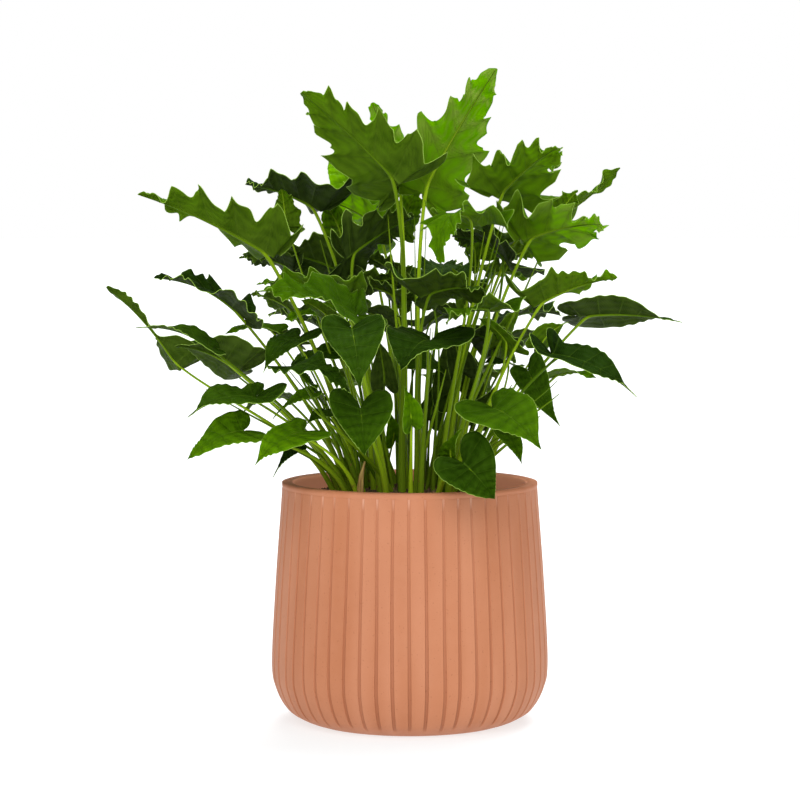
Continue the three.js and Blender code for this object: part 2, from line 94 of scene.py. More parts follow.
# %% Leaf families and leaf rows
FORM_VALUES = ["lobes", "cut", "sharp", "lean", "back", "ease", "taper", "ruffles", "pleat", "veins"]
FORM_ROWS = {
    "lobed": [6, 0.37, 1.1, 10, 132, 3, 0.5, 2.6, 3, 6],
    "notched": [4, 0.24, 1.1, 8, 146, 2.8, 0.56, 2.2, 1.7, 8],
    "waisted": [2, 0.8, 3, 4, 150, 3, 0.3, 1.3, 0, 6],
    "heart": [0, 0, 1, 0, 160, 2.2, 0.78, 1.4, 0, 7],
    "small": [0, 0, 1, 0, 160, 2.2, 0.8, 1.2, 0, 6],
}
FORMS = {kind: dict(zip(FORM_VALUES, row)) for kind, row in FORM_ROWS.items()}
LEAVES = [
    ["lobed", "bright", [-9, -18, 465], [-92, -40, 542], [0, 0.75, 0.65], 52, 0.15, 0.04, 0.5, 5, 2.2],
    ["lobed", "young", [11, 22, 457], [76, 40, 566], [0, 0.75, 0.5], 52, 0.12, 0.04, 0.6, 5, 2.2],
    ["lobed", "bright", [76, 9, 453], [124, -61, 495], [0, 0.7, 0.7], 49, 0.12, 0.06, 0.6, 5, 1.9],
    ["lobed", "young", [98, 6, 416], [162, -42, 431], [0, 0.75, 0.66], 48, 0.15, 0.06, 0.6, 6, 1.9],
    ["notched", "bright", [85, 73, 412], [189, 101, 480], [0, 0.5, 0.85], 36, 0.15, -0.06, 0.3, 6, 1.8],
    ["lobed", "bright", [61, -42, 429], [25, -90, 399], [0, 0.2, 1], 38, 0.1, 0.4, 0, 5, 1.6],
    ["lobed", "bright", [-117, -20, 402], [-229, -60, 456], [0, 0.45, 0.9], 43, 0.55, 0.04, 1, 5, 2.2],
    ["notched", "dark", [-79, 82, 441], [-145, 64, 465], [0, 0.25, 1], 46, 0.35, 0.06, 0.6, 5, 1.9],
    ["heart", "young", [-45, 189, 451], [-75, 207, 488], [0, -0.6, 0.8], 32, 0.1, 0.1, 0, 3, 1.6, [-3, 56]],
    ["lobed", "young", [-22, 118, 420], [-76, 122, 451], [0, 0.6, 0.8], 44, 0.15, 0.1, 0.5, 5, 1.8],
    ["lobed", "dark", [-55, 38, 400], [4, 74, 437], [0, 0.75, 0.65], 44, 0.2, 0.04, 0.6, 5, 1.9],
    ["notched", "dark", [-57, 102, 385], [-149, 82, 403], [0, 0.55, 0.85], 42, 0.1, 0.1, 0.5, 5, 1.7],
    ["notched", "bright", [-52, 2, 364], [-133, 12, 378], [0, 0.4, 0.9], 38, 0.15, 0.1, 0.4, 5, 1.6,
     [-30, -1]],
    ["notched", "bright", [-46, -53, 353], [-127, -83, 375], [0, -0.4, 0.9], 42, 0.2, 0.1, 0.3, 5, 1.8],
    ["notched", "dark", [-143, -40, 352], [-215, -70, 386], [0, -0.25, 1], 36, 0.35, 0.1, -0.2, 4, 1.7],
    ["waisted", "dark", [-198, -23, 306], [-257, -53, 378], [0.2, 0.5, 0.8], 18, 0.5, 0.06, 1, 3, 1.4],
    ["small", "dark", [-166, -80, 327], [-227, -110, 346], [0, -0.35, 0.9], 15, 0.25, 0.1, 0, 3, 1.5],
    ["heart", "dark", [-147, -36, 306], [-199, -58, 328], [0, 0.6, 0.8], 30, 0.25, 0.1, 0.5, 3, 1.4],
    ["heart", "dark", [-129, -95, 287], [-183, -130, 273], [0, -0.25, 0.95], 28, 0.1, 0.12, 0.4, 3, 1.5],
    ["heart", "bright", [-138, -119, 261], [-182, -149, 240], [0, -0.6, 0.8], 24, 0.1, 0.12, -0.2, 2, 1.4],
    ["heart", "bright", [-89, -102, 259], [-127, -142, 235], [0, -0.55, 0.8], 24, 0.1, 0.12, -0.2, 2, 1.4],
    ["small", "dark", [-94, -50, 241], [-115, -85, 219], [0, -0.4, 0.9], 7, 0.1, 0.12, 0, 1, 1.2],
    ["small", "bright", [-113, -10, 337], [-158, -30, 337], [0, -0.3, 0.95], 18, 0.1, 0.14, 0, 2, 1.3],
    ["small", "dark", [-94, -40, 335], [-123, -80, 307], [0, -0.3, 0.95], 20, 0.1, 0.14, 0, 2, 1.3],
    ["notched", "dark", [-99, -95, 313], [-49, -155, 295], [0, -0.5, 0.85], 22, 0.1, 0.14, 0, 3, 1.4],
    ["heart", "dark", [-48, -118, 345], [-40, -172, 300], [0, -0.8, 0.6], 29, 0.1, 0.1, -0.2, 4, 1.8],
    ["heart", "dark", [17, -80, 334], [-8, -150, 313], [0, -0.4, 0.9], 38, 0.15, 0.1, 0, 4, 1.8],
    ["notched", "dark", [9, -53, 369], [62, -83, 375], [0, 0.5, 0.85], 42, 0.1, 0.1, 0.4, 5, 1.7],
    ["notched", "dark", [-8, 67, 362], [-46, 62, 374], [0, 0.3, 1], 30, 0.1, 0.12, 0.3, 4, 1.5],
    ["notched", "bright", [73, -70, 358], [30, -110, 350], [0, 0.3, 0.95], 32, 0.1, 0.12, 0.4, 5, 1.9],
    ["notched", "bright", [106, -30, 360], [175, -60, 386], [0, 0.45, 0.9], 30, 0.5, 0.06, 0.5, 5, 1.7],
    ["heart", "dark", [146, 0, 351], [233, -30, 347], [0, 0.6, 0.8], 27, 0.15, 0.05, 0, 4, 1.7],
    ["heart", "dark", [118, -90, 323], [186, -130, 290], [0, -0.4, 0.9], 23, 0.3, 0.1, 0.9, 3, 1.7],
    ["heart", "dark", [101, -40, 306], [126, -80, 262], [-0.5, -0.5, 0.6], 18, 0.1, 0.12, 0, 3, 1.5],
    ["small", "bright", [119, -20, 298], [159, -40, 300], [0, 0, 1], 20, 0.1, 0.12, 0, 3, 1.3],
    ["heart", "bright", [69, -120, 280], [106, -170, 250], [0, -0.7, 0.7], 31, 0.1, 0.1, 0, 2, 1.6],
    ["heart", "dark", [44, -130, 235], [69, -152, 208], [0, -0.9, 0.45], 29, 0.08, 0.1, 0, 2, 1.5],
    ["small", "bright", [81, -80, 257], [93, -100, 232], [0, -0.5, 0.85], 12, 0.1, 0.12, 0, 1, 1.2],
    ["heart", "dark", [-41, -125, 280], [-37, -160, 244], [0, -0.75, 0.65], 29, 0.15, 0.1, 0, 2, 1.6],
    ["heart", "young", [1, -90, 265], [-5, -90, 297], [0.3, -0.9, 0.3], 11, 0.5, 0.1, 0, 1, 1.3],
    ["heart", "dark", [79, 34, 321], [50, 22, 336], [0, 0.6, 0.8], 26, 0.1, 0.12, 0.3, 2, 1.4],
    ["small", "dark", [94, 28, 305], [64, 20, 309], [0, -0.2, 1], 16, 0.1, 0.12, 0, 2, 1.2],
    ["small", "dark", [92, 90, 320], [126, 82, 332], [0, 0.3, 0.95], 22, 0.1, 0.12, 0, 2, 1.3],
    ["notched", "bright", [71, 100, 386], [103, 74, 382], [0, 0.4, 0.9], 30, 0.1, 0.12, 0.2, 4, 1.5],
    ["small", "dark", [-64, -45, 270], [-88, -70, 262], [0, -0.4, 0.9], 13, 0.1, 0.12, 0, 1, 1.2, [-37, -28]],
    ["small", "bright", [-82, -36, 287], [-117, -42, 265], [0, -0.4, 0.9], 10, 0.1, 0.12, 0, 1, 1.2],
    ["notched", "dark", [-70, 110, 330], [-130, 175, 345], [0, 0.3, 0.95], 42, 0.1, 0.1, 0.3, 5, 1.8],
    ["notched", "dark", [75, 105, 335], [140, 165, 345], [0, 0.3, 0.95], 42, 0.1, 0.1, 0.3, 5, 1.8],
    ["lobed", "dark", [28, 120, 365], [33, 215, 390], [0, -0.2, 0.95], 46, 0.1, 0.1, 0.3, 5, 1.8],
    ["notched", "dark", [-34, 122, 285], [-60, 202, 270], [0, 0.3, 0.95], 36, 0.1, 0.1, 0.2, 4, 1.6],
    ["notched", "dark", [45, 125, 290], [75, 205, 270], [0, 0.3, 0.95], 36, 0.1, 0.1, 0.2, 4, 1.6],
    ["heart", "dark", [-105, 60, 275], [-150, 105, 260], [0, 0.2, 0.95], 30, 0.1, 0.12, 0, 2, 1.5],
    ["heart", "dark", [94, 60, 275], [118, 105, 262], [0, 0.2, 0.95], 24, 0.1, 0.12, 0, 2, 1.5],
    ["notched", "dark", [86, 23, 397], [38, 67, 419], [0, 0.6, 0.8], 38, 0.2, 0.1, 0.4, 5, 1.6],
    ["lobed", "young", [-7, 43, 462], [-33, 64, 537], [0, 0.8, 0.6], 34, 0.15, 0.05, 0.5, 5, 1.8],
    ["small", "bright", [88, -10, 322], [59, -10, 350], [0, 0.4, 0.9], 18, 0.1, 0.1, 0, 2, 1.3],
    ["heart", "dark", [43, 45, 286], [34, 47, 332], [0, 0.8, 0.5], 27, 0.2, 0.1, 0, 2, 1.3],
]
HUSK_PATH = [[-41, -60, 187], [-42, -62, 207], [-41, -65, 219], [-38, -66, 231]]
HUSK_RADII = [2.6, 3.2, 2.6, 0.8]
print(len(LEAVES), "leaves,", sum(row[0] == "lobed" for row in LEAVES), "of them deeply lobed")

# %% [markdown]
# ## The camera
# The photograph looks at the planter almost level, from about two and a half metres, so its rim shows as a
# thin ellipse and the top leaves are seen from below. A long lens at that distance keeps the planter's sides
# nearly parallel.

# %% Camera
VIEWPOINT = (-8.4, -2500, 452)
LOOK_AT = (-8.4, 0, 278.5)
PIXELS_ACROSS = 800
FOCAL_PIXELS = 2892
SENSOR = 36


def add_camera():
    """A camera at the viewpoint, aimed at the planter's axis and level from side to side."""
    data = bpy.data.cameras.new("front_camera")
    data.sensor_width = SENSOR
    data.lens = FOCAL_PIXELS / PIXELS_ACROSS * SENSOR
    camera = bpy.data.objects.new("front_camera", data)
    bpy.context.collection.objects.link(camera)
    drop = VIEWPOINT[2] - LOOK_AT[2]
    away = LOOK_AT[1] - VIEWPOINT[1]
    camera.location = [value * MM for value in VIEWPOINT]
    camera.rotation_euler = (math.pi / 2 - math.atan2(drop, away), 0, 0)
    bpy.context.scene.camera = camera
    return camera


print("lens", round(add_camera().data.lens, 1), "mm")

# %% [markdown]
# ## Light
# The studio is white all round, and its light is soft: a wide key from the front, a fill from higher up, and
# two suns from above and behind that shine through the top leaves. A sun lamp with a wide disc gives such
# light, and it is as strong on the far floor as near the planter, so no horizon shows. The sky is pure white
# where it is looked at, but it lights the leaves at part of that, which keeps a grey veil off their dark
# green. For the same reason gloss doesn't mirror the two suns behind.

# %% Lights and sky
SKY_SEEN = 1.0
SKY_LIGHT = 0.17
SOFT_SUNS = {
    "key_light": {"height": 30, "turn": -6, "width": 50, "power": 1.95},
    "top_light": {"height": 72, "turn": 150, "width": 40, "power": 2.3, "mirrored": False},
    "back_light": {"height": 42, "turn": 168, "width": 40, "power": 2.6, "mirrored": False},
    "wide_fill": {"height": 52, "turn": 12, "width": 110, "power": 0.65},
}


def add_soft_sun(name, height, turn, width, power, mirrored=True):
    """A sun height degrees above the floor, turned from the front to the right. Gloss may mirror it."""
    data = bpy.data.lights.new(name, "SUN")
    data.angle = math.radians(width)
    data.energy = power
    light = bpy.data.objects.new(name, data)
    bpy.context.collection.objects.link(light)
    light.rotation_euler = (math.radians(90 - height), 0, math.radians(turn))
    light.visible_glossy = mirrored
    return light


def make_sky():
    """A white surrounding, one strength for the camera's own rays and another for all other light."""
    world = bpy.data.worlds.new("white_studio")
    world.use_nodes = True
    tree = world.node_tree
    background = tree.nodes["Background"]
    path = tree.nodes.new("ShaderNodeLightPath")
    strength = tree.nodes.new("ShaderNodeMapRange")
    strength.inputs["To Min"].default_value = SKY_LIGHT
    strength.inputs["To Max"].default_value = SKY_SEEN
    tree.links.new(path.outputs["Is Camera Ray"], strength.inputs["Value"])
    tree.links.new(strength.outputs["Result"], background.inputs["Strength"])
    background.inputs["Color"].default_value = (1, 1, 1, 1)
    bpy.context.scene.world = world


for light_name, facts in SOFT_SUNS.items():
    add_soft_sun(light_name, **facts)
make_sky()
bpy.context.scene.view_settings.view_transform = "Standard"
print(len(SOFT_SUNS), "soft suns and a white sky")

# %% [markdown]
# ## Shader sums in plain Python
# A finish is easier to read as arithmetic than as a web of nodes. The small class below wraps one socket, and
# each sign written between two of them adds one Math node. The recipe that makes a material has one method
# for every other kind of node: its settings come first, then the values or links of its sockets.

# %% A socket that can be added and multiplied
class Term:
    """One number of a shader. A sum, difference, product or quotient of terms is a Math node."""

    def __init__(self, recipe, socket):
        self.recipe = recipe
        self.socket = socket

    def maths(self, operation, *terms):
        """One Math node, with the terms in its sockets."""
        return self.recipe.node("Math", {"operation": operation}, dict(enumerate(terms)))

    def __add__(self, other):
        return self.maths("ADD", self, other)

    __radd__ = __add__

    def __mul__(self, other):
        return self.maths("MULTIPLY", self, other)

    __rmul__ = __mul__

    def __sub__(self, other):
        return self.maths("SUBTRACT", self, other)

    def __rsub__(self, other):
        return self.maths("SUBTRACT", other, self)

    def __truediv__(self, other):
        return self.maths("DIVIDE", self, other)

    def __abs__(self):
        return self.maths("ABSOLUTE", self)

    def fraction(self):
        """What is left above the next lower whole number."""
        return self.maths("FRACT", self)

    def held(self):
        """The value kept between 0 and 1."""
        return self.recipe.node("Clamp", {}, {0: self, 1: 0, 2: 1})

    def rise(self, low, high):
        """0 below low, 1 above high, and an even slope between them."""
        return ((self - low) / (high - low)).held()


print("sums in a shader are written with + - * / and abs")

# %% A recipe for one material
class Recipe:
    """One material, with a Principled shader at its end."""

    def __init__(self, name):
        self.material = bpy.data.materials.new(name)
        self.material.use_nodes = True
        self.tree = self.material.node_tree
        self.shader = self.tree.nodes["Principled BSDF"]

    def node(self, kind, settings=None, values=None, output=0):
        """A new node with its settings, and with values or links in its sockets."""
        made = self.tree.nodes.new("ShaderNode" + kind)
        for setting, value in (settings or {}).items():
            setattr(made, setting, value)
        for key, value in (values or {}).items():
            self.feed(made.inputs[key], value)
        return Term(self, made.outputs[output])

    def feed(self, socket, value):
        """Links a term to the socket, or sets a plain value there."""
        if isinstance(value, Term):
            self.tree.links.new(value.socket, socket)
        else:
            socket.default_value = value

    def mix(self, factor, first, second):
        """A colour between first and second."""
        return self.node("Mix", {"data_type": "RGBA"}, {0: factor, 6: first, 7: second}, 2)

    def noise(self, scale, detail=3, roughness=0.55, place=None):
        """Cloudy values about 0.5, scale being blobs a metre where place is in metres."""
        where = place or self.node("TexCoord", output="Object")
        values = {"Vector": where, "Scale": scale, "Detail": detail, "Roughness": roughness}
        return self.node("TexNoise", {}, values)

    def attribute(self, name):
        """A value that the mesh keeps for each of its points."""
        return self.node("Attribute", {"attribute_name": name}, output="Fac")

    def uv(self):
        """The piece's own UV map."""
        return self.node("UVMap", {"uv_map": "UVMap"})

    def part_of(self, place, number):
        """One of a place's three numbers: 0, 1 or 2."""
        return self.node("SeparateXYZ", {}, {0: place}, number)

    def stretched(self, place, scale):
        """The place with each of its numbers multiplied."""
        return self.node("Mapping", {}, {"Vector": place, "Scale": scale})

    def bump(self, height, strength, distance):
        """A normal tilted by the slopes of height, where a height of 1 stands for distance metres."""
        return self.node("Bump", {}, {"Height": height, "Strength": strength, "Distance": distance})

    def finish(self, **sockets):
        """Sets the shader's sockets, written with underscores for blanks, and gives the material."""
        for name, value in sockets.items():
            self.feed(self.shader.inputs[name.replace("_", " ")], value)
        return self.material


print("a recipe's methods:", ", ".join(name for name in vars(Recipe) if not name.startswith("_")))

# %% [markdown]
# ## Putting a grid of points into a mesh
# Every surface here is a function of two parameters. A loop over its points could work it out, but whole
# arrays do it far faster in Python. A helper numbers the squares of a grid, another gathers patches into one
# mesh with their UV maps, and points that coincide at seams and poles are merged, so the shell is closed.

# %% Grid helpers
def grid_faces(rows, columns, around=False, flip=False):
    """Squares of a grid of points numbered row by row; around joins its last column to its first."""
    down = np.arange(rows - 1)[:, None] * columns
    across = np.arange(columns if around else columns - 1)[None, :]
    right = (across + 1) % columns
    corners = [down + across, down + right, down + columns + right, down + columns + across]
    faces = np.stack(corners, -1).reshape(-1, 4)
    return faces[:, ::-1] if flip else faces


def pair(first, second):
    """Two grids of numbers as one grid of UV pairs."""
    return np.stack(np.broadcast_arrays(first, second), -1)


print("a grid of 3 by 4 points has", len(grid_faces(3, 4)), "squares")

# %% Patches of one piece
class Patchwork:
    """Patches of one piece: points in mm, faces, UV pairs, a tone a point and a material number a face."""

    def __init__(self):
        self.points, self.faces, self.uvs, self.tones, self.numbers = [], [], [], [], []
        self.count = 0

    def add(self, points, faces, uv, tone=0.0, number=0):
        """One more patch; a single UV pair or tone holds for all of its points."""
        flat = points.reshape(-1, 3)
        self.points.append(flat)
        self.faces.append(faces + self.count)
        self.uvs.append(np.broadcast_to(uv, (*points.shape[:-1], 2)).reshape(-1, 2))
        self.tones.append(np.broadcast_to(tone, points.shape[:-1]).reshape(-1))
        self.numbers.append(np.full(len(faces), number))
        self.count += len(flat)

    def hold_inside(self, low, high):
        """No point lies outside the box, given in millimetres: at most half a millimetre of a tip is cut."""
        self.points = [np.clip(points, low, high) for points in self.points]

    def build(self, name, materials, smooth=True, seam=1e-6):
        """The mesh object, with merged seams, its UV map and a point attribute named tone."""
        points = np.concatenate(self.points) * MM
        faces = np.concatenate(self.faces)
        mesh = bpy.data.meshes.new(name)
        mesh.from_pydata(points, [], faces)
        uv = mesh.uv_layers.new(name="UVMap")
        uv.data.foreach_set("uv", np.concatenate(self.uvs)[faces.reshape(-1)].astype(np.float32).ravel())
        tone = mesh.attributes.new("tone", "FLOAT", "POINT")
        tone.data.foreach_set("value", np.concatenate(self.tones).astype(np.float32))
        mesh.polygons.foreach_set("material_index", np.concatenate(self.numbers).astype(np.int32))
        mesh.polygons.foreach_set("use_smooth", np.full(len(faces), smooth))
        for material in materials:
            mesh.materials.append(material)
        merge_seams(mesh, seam)
        piece = bpy.data.objects.new(name, mesh)
        bpy.context.collection.objects.link(piece)
        return piece


def merge_seams(mesh, distance):
    """Points closer than distance become one, and faces that lose their area go."""
    shell = bmesh.new()
    shell.from_mesh(mesh)
    bmesh.ops.remove_doubles(shell, verts=shell.verts, dist=distance)
    bmesh.ops.dissolve_degenerate(shell, edges=shell.edges, dist=distance)
    shell.to_mesh(mesh)
    shell.free()


trial = Patchwork()
trial.add(np.zeros((3, 4, 3)), grid_faces(3, 4), (0, 0))
print("a patchwork of one such grid holds", trial.count, "points")

# %% [markdown]
# ## The floor
# A single large square is enough for a studio floor. It is not part of the object, so it is not attached to
# it.

# %% Floor
FLOOR_SIZE = 60
FLOOR_WHITE = (0.36, 0.375, 0.38, 1)
FLOOR_GLOW = 0.7


def add_floor():
    """A flat square at the height of the planter's foot."""
    paint = Recipe("floor_paint").finish(Base_Color=FLOOR_WHITE, Roughness=0.9, Specular_IOR_Level=0,
                                         Emission_Color=(1, 1, 1, 1), Emission_Strength=FLOOR_GLOW)
    half = FLOOR_SIZE / 2 / MM
    side = np.array([-half, half])
    y, x = np.meshgrid(side, side, indexing="ij")
    floor = Patchwork()
    floor.add(np.stack([x, y, np.zeros_like(x)], -1), grid_faces(2, 2), (0, 0))
    piece = floor.build("floor", [paint])
    return piece


print("floor", add_floor().dimensions.x, "m")

# %% [markdown]
# ## The terracotta planter
# The planter is matte, smooth-slipped terracotta. About fifty grooves run down its wall, each drawn by hand:
# a thin line under the lip that widens and deepens towards the foot and ends in a small lens. The wall could
# be a spun profile with the grooves in a bump, but then its edge would stay smooth. So it is worked out as
# points: a profile, smoothed between its few measured points, is turned round the axis, and every groove owns
# a band of columns that crowd together at its edges. First come four helpers for profiles.

# %% Helpers for profiles
FINE_STEPS = 40


def smooth_profile(points, count):
    """A curve through the points (Catmull-Rom), resampled at count even steps of its length."""
    points = np.asarray(points, float)
    padded = np.vstack([2 * points[0] - points[1], points, 2 * points[-1] - points[-2]])
    share = np.linspace(0, len(points) - 1, FINE_STEPS * len(points))
    span = np.minimum(share.astype(int), len(points) - 2)
    t = (share - span)[:, None]
    a, b, c, d = (padded[span + k] for k in range(4))
    curve = 0.5 * (2 * b + (c - a) * t + (2 * a - 5 * b + 4 * c - d) * t**2 + (3 * b - a - 3 * c + d) * t**3)
    length = np.concatenate([[0], np.cumsum(np.linalg.norm(np.diff(curve, axis=0), axis=1))])
    even = np.linspace(0, length[-1], count)
    return np.stack([np.interp(even, length, curve[:, k]) for k in range(2)], -1)


def step(value, low, high):
    """0 below low, 1 above high, and a smooth S between them."""
    share = np.clip((value - low) / (high - low), 0, 1)
    return share * share * (3 - 2 * share)


def mirrored(values):
    """The values for one side of a groove, continued to the other side."""
    return np.concatenate([values[:0:-1], values])


def on_rings(radius, angle, height):
    """Points from radii, angles and heights, each an array that fits the others."""
    return np.stack([radius * np.cos(angle), radius * np.sin(angle), height + 0 * angle], -1)


print("widest:", smooth_profile(POT_OUTER, 100)[:, 0].max().round(1), "mm from the axis")

# %% The planter's profile
WALL_ROWS = 62
LIP_ROWS = 16
INNER_ROWS = 6
FOOT_HEIGHTS = [6, 8, 10.5, 13]
BELOW_GROOVE_END = [1.6, 0.9, 0.4, 0]
INSIDE = [[101.6, 180], *POT_INNER]
ON_AXIS = 0.01
FOOT_RING = 60


def pot_profile():
    """Radius and height from the middle of the foot up the wall, over the lip and down to the inner floor."""
    wall = smooth_profile([*POT_OUTER, POT_LIP[0]], WALL_ROWS)
    heights = [*FOOT_HEIGHTS, *(GROOVE_TO - down for down in BELOW_GROOVE_END)]
    extra = [[np.interp(z, wall[:, 1], wall[:, 0]), z] for z in heights]
    wall = np.array(sorted([*wall.tolist(), *extra], key=lambda point: point[1]))
    lip = smooth_profile([*POT_LIP, INSIDE[0]], LIP_ROWS)[1:]
    inner = smooth_profile(INSIDE, INNER_ROWS)[1:]
    foot, floor = [[ON_AXIS, 0], [FOOT_RING, 0]], [[ON_AXIS, POT_INNER[-1][1]]]
    return np.vstack([foot, wall, lip, inner, floor]), len(foot) + len(wall)


print("the planter's profile:", len(pot_profile()[0]), "rows")

# %% [markdown]
# ## A groove in the wall
# Across a groove its columns stand at fixed places, given in half widths from its middle line. At each place
# one share says how much of the cut's depth is taken away and another how much of the small ridge beside it
# is added. The inner side's painted light is marked by a tone of -1, and the cut's painted shade runs from
# 0 to 1.

# %% Columns and lines of the grooves
GROOVE_WIDTH_TOP = 0.082
GROOVE_WIDTH_FOOT = 0.125
GROOVE_WANDER = 0.075
GROOVE_BEND = 0.6
CUT_PLACES = np.array([0, 0.45, 0.7, 0.86, 1.0, 1.14, 1.4])
CUT_SHARES = np.array([1, 1, 0.96, 0.5, 0, 0, 0])
RIDGE_SHARES = np.array([0, 0, 0, 0, 0.4, 1, 0])
PANEL_PLACES = np.array([0.25, 0.34])


def groove_columns():
    """For one groove: places in half widths, with the sign of their side, then cut and ridge shares."""
    side = np.sign(np.arange(len(CUT_PLACES) * 2 - 1) - len(CUT_PLACES) + 1)
    blank = np.zeros(len(PANEL_PLACES))
    cut = np.concatenate([blank, mirrored(CUT_SHARES), blank])
    ridge = np.concatenate([blank, mirrored(RIDGE_SHARES), blank])
    return mirrored(CUT_PLACES) * side, cut, ridge


def groove_lines(draw, places, up, fade):
    """Each column's groove and its angle: (groove + offset + wander) x pitch."""
    groove = np.repeat(np.arange(POT_GROOVES), len(places) + 2 * len(PANEL_PLACES))[None, :]
    shift, tilt, bend = (draw.uniform(-1, 1, POT_GROOVES)[groove] for _ in range(3))
    width = GROOVE_WIDTH_FOOT + (GROOVE_WIDTH_TOP - GROOVE_WIDTH_FOOT) * up**0.6
    near = width * places[None, :]
    far = PANEL_PLACES + 0 * width
    offset = np.tile(np.concatenate([-far[:, ::-1], near, far], 1), POT_GROOVES)
    wander = GROOVE_WANDER * (shift + tilt * (up - 0.5) + GROOVE_BEND * bend * np.sin(5 * up + 3 * shift))
    pitch = 2 * math.pi / POT_GROOVES
    return groove, (groove + offset + wander * fade) * pitch


print("grooves:", POT_GROOVES, "of", len(groove_columns()[1]), "columns")

# %% Planter surface
GROOVE_START = 5
GROOVE_STOP = 0.9
DEPTH_AT_FOOT = 1.35
DEPTH_LOST = 0.9
RIDGE = 0.13
PANEL_PROUD = 0.35
WALL_INSET = 0.6
LIP_EDGE_ROW = 4
POT_SEAM = 2e-5


def groove_relief(draw, groove, height, up, cut, ridge):
    """Panel + ridge - depth x cut, and the share of it at each point, 1 between a groove's two ends."""
    strength = draw.uniform(0.7, 1.25, POT_GROOVES)[groove]
    low = GROOVE_FROM + draw.uniform(0, 3, POT_GROOVES)[groove]
    reach = step(height, low, low + GROOVE_START) * (1 - step(height, GROOVE_TO - GROOVE_STOP, GROOVE_TO))
    depth = GROOVE_DEPTH * strength * (DEPTH_AT_FOOT - DEPTH_LOST * up**0.7)
    return PANEL_PROUD + RIDGE * ridge - depth * cut, reach


def pot_wall(terracotta):
    """Points at the columns' angles, radius = profile + relief + slow waves, height = profile."""
    draw = np.random.default_rng(SEEDS["planter"])
    profile, wall_rows = pot_profile()
    radius, height = profile[:, 0][:, None], profile[:, 1][:, None]
    row = np.arange(len(profile))[:, None]
    outside, inside = row < wall_rows, row >= wall_rows + LIP_EDGE_ROW
    up = np.clip(height / POT_LIP[1][1], 0, 1)
    fade = np.clip(radius / FOOT_RING, 0, 1)
    places, cut, ridge = groove_columns()
    cut, ridge = np.tile(cut, POT_GROOVES)[None, :], np.tile(ridge, POT_GROOVES)[None, :]
    groove, angle = groove_lines(draw, places, up, fade)
    relief, reach = groove_relief(draw, groove, height, up, cut, ridge)
    reach = reach * outside
    lift = 0.12 * np.sin(3 * angle + 2) + 0.08 * np.sin(7 * angle + 4 * up)
    points = on_rings(radius + relief * reach + (lift - WALL_INSET) * outside * fade, angle, height)
    # Painted shade in the cuts, weaker towards the top; the inner side gets -1, which the finish turns into
    # painted light.
    shade = cut * reach * (1 - 0.6 * up) - inside
    pot = Patchwork()
    pot.add(points, grid_faces(*points.shape[:2], around=True), pair(angle, height + 0 * angle), shade)
    return pot.build("grooved_planter", [terracotta], seam=POT_SEAM)


print("the planter has", len(pot_profile()[0]) * POT_GROOVES * len(groove_columns()[1]), "points")

# %% [markdown]
# ## The terracotta finish
# Real slip is never one flat tone: it is a little paler where it dried first, and full of pinholes finer
# than a millimetre. A picture wrapped round the wall could carry such marks, but it would blur close by and
# show its seam. So noise at several scales gives the clouding, the grain and the pits. One noise is stretched
# along the wall's height, so that it marks the panels between the grooves. The depth of the cut, kept as an
# attribute on the points, darkens the grooves, and the pits are darkened too: this is painted shade. Light
# ticks end the grooves under the lip. The inner side is painted paler and given a faint glow: painted light,
# in place of the light that its walls pass on.

# %% Terracotta material
CLAY = (0.435, 0.154, 0.068, 1)
CLAY_WARM = (0.487, 0.180, 0.082, 1)
SLIP_BLOTCH = (0.55, 0.235, 0.128, 1)
SLIP_PANEL = (0.575, 0.245, 0.134, 1)
# Painted shade: this dark clay is mixed into the grooves and the pits.
CUT_PAINTED_SHADE = (0.27, 0.085, 0.035, 1)
TICK_CLAY = (0.80, 0.47, 0.34, 1)
# Painted light: the inner side is painted paler than the clay and glows a little.
INNER_PAINTED_LIGHT = (0.92, 0.385, 0.235, 1)
INNER_PAINTED_GLOW = 0.15
PANEL_STRETCH = (5.2, 0.004, 1)
TICK_HEIGHTS = (193, 200)


def terracotta_finish():
    """Clouds, blotches and pits, painted shade in cuts and pits, light ticks, painted light on the inner
    side.
    """
    clay = Recipe("terracotta_slip")
    cloud = clay.noise(9, 4)
    grain = clay.noise(900, 2)
    blotch = clay.noise(55, 3)
    pits = clay.noise(650, 0).rise(0.76, 0.8)
    panel = clay.noise(1, 1, place=clay.stretched(clay.uv(), PANEL_STRETCH))
    cut = clay.attribute("tone")
    inner = (0 - cut).held()
    body = clay.mix(cloud.rise(0.3, 0.7), CLAY, CLAY_WARM)
    body = clay.mix(blotch.rise(0.45, 0.8) * 0.2, body, SLIP_BLOTCH)
    body = clay.mix(panel.rise(0.3, 0.7) * 0.5, body, SLIP_PANEL)
    # Painted shade in the grooves and the pits.
    body = clay.mix((cut.held() * 0.5 + pits * 0.3).held(), body, CUT_PAINTED_SHADE)
    tick = cut.rise(0.05, 0.3) * clay.part_of(clay.uv(), 1).rise(*TICK_HEIGHTS) * panel.rise(0.3, 0.6)
    body = clay.mix(tick * 0.45, body, TICK_CLAY)
    # Painted light on the inner side: a paler colour and a faint glow.
    body = clay.mix(inner, body, INNER_PAINTED_LIGHT)
    glow = clay.mix(inner, (0, 0, 0, 1), INNER_PAINTED_LIGHT)
    relief = grain * 0.15 + blotch * 0.4 - pits * 0.5
    return clay.finish(Base_Color=body, Roughness=0.5 + 0.15 * grain, Specular_IOR_Level=0.3,
                       Emission_Color=glow, Emission_Strength=INNER_PAINTED_GLOW,
                       Normal=clay.bump(relief, 0.2, 0.0005))


planter = pot_wall(terracotta_finish())
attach(planter, "root")
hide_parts("pot")
print("planter:", len(planter.data.polygons), "faces")

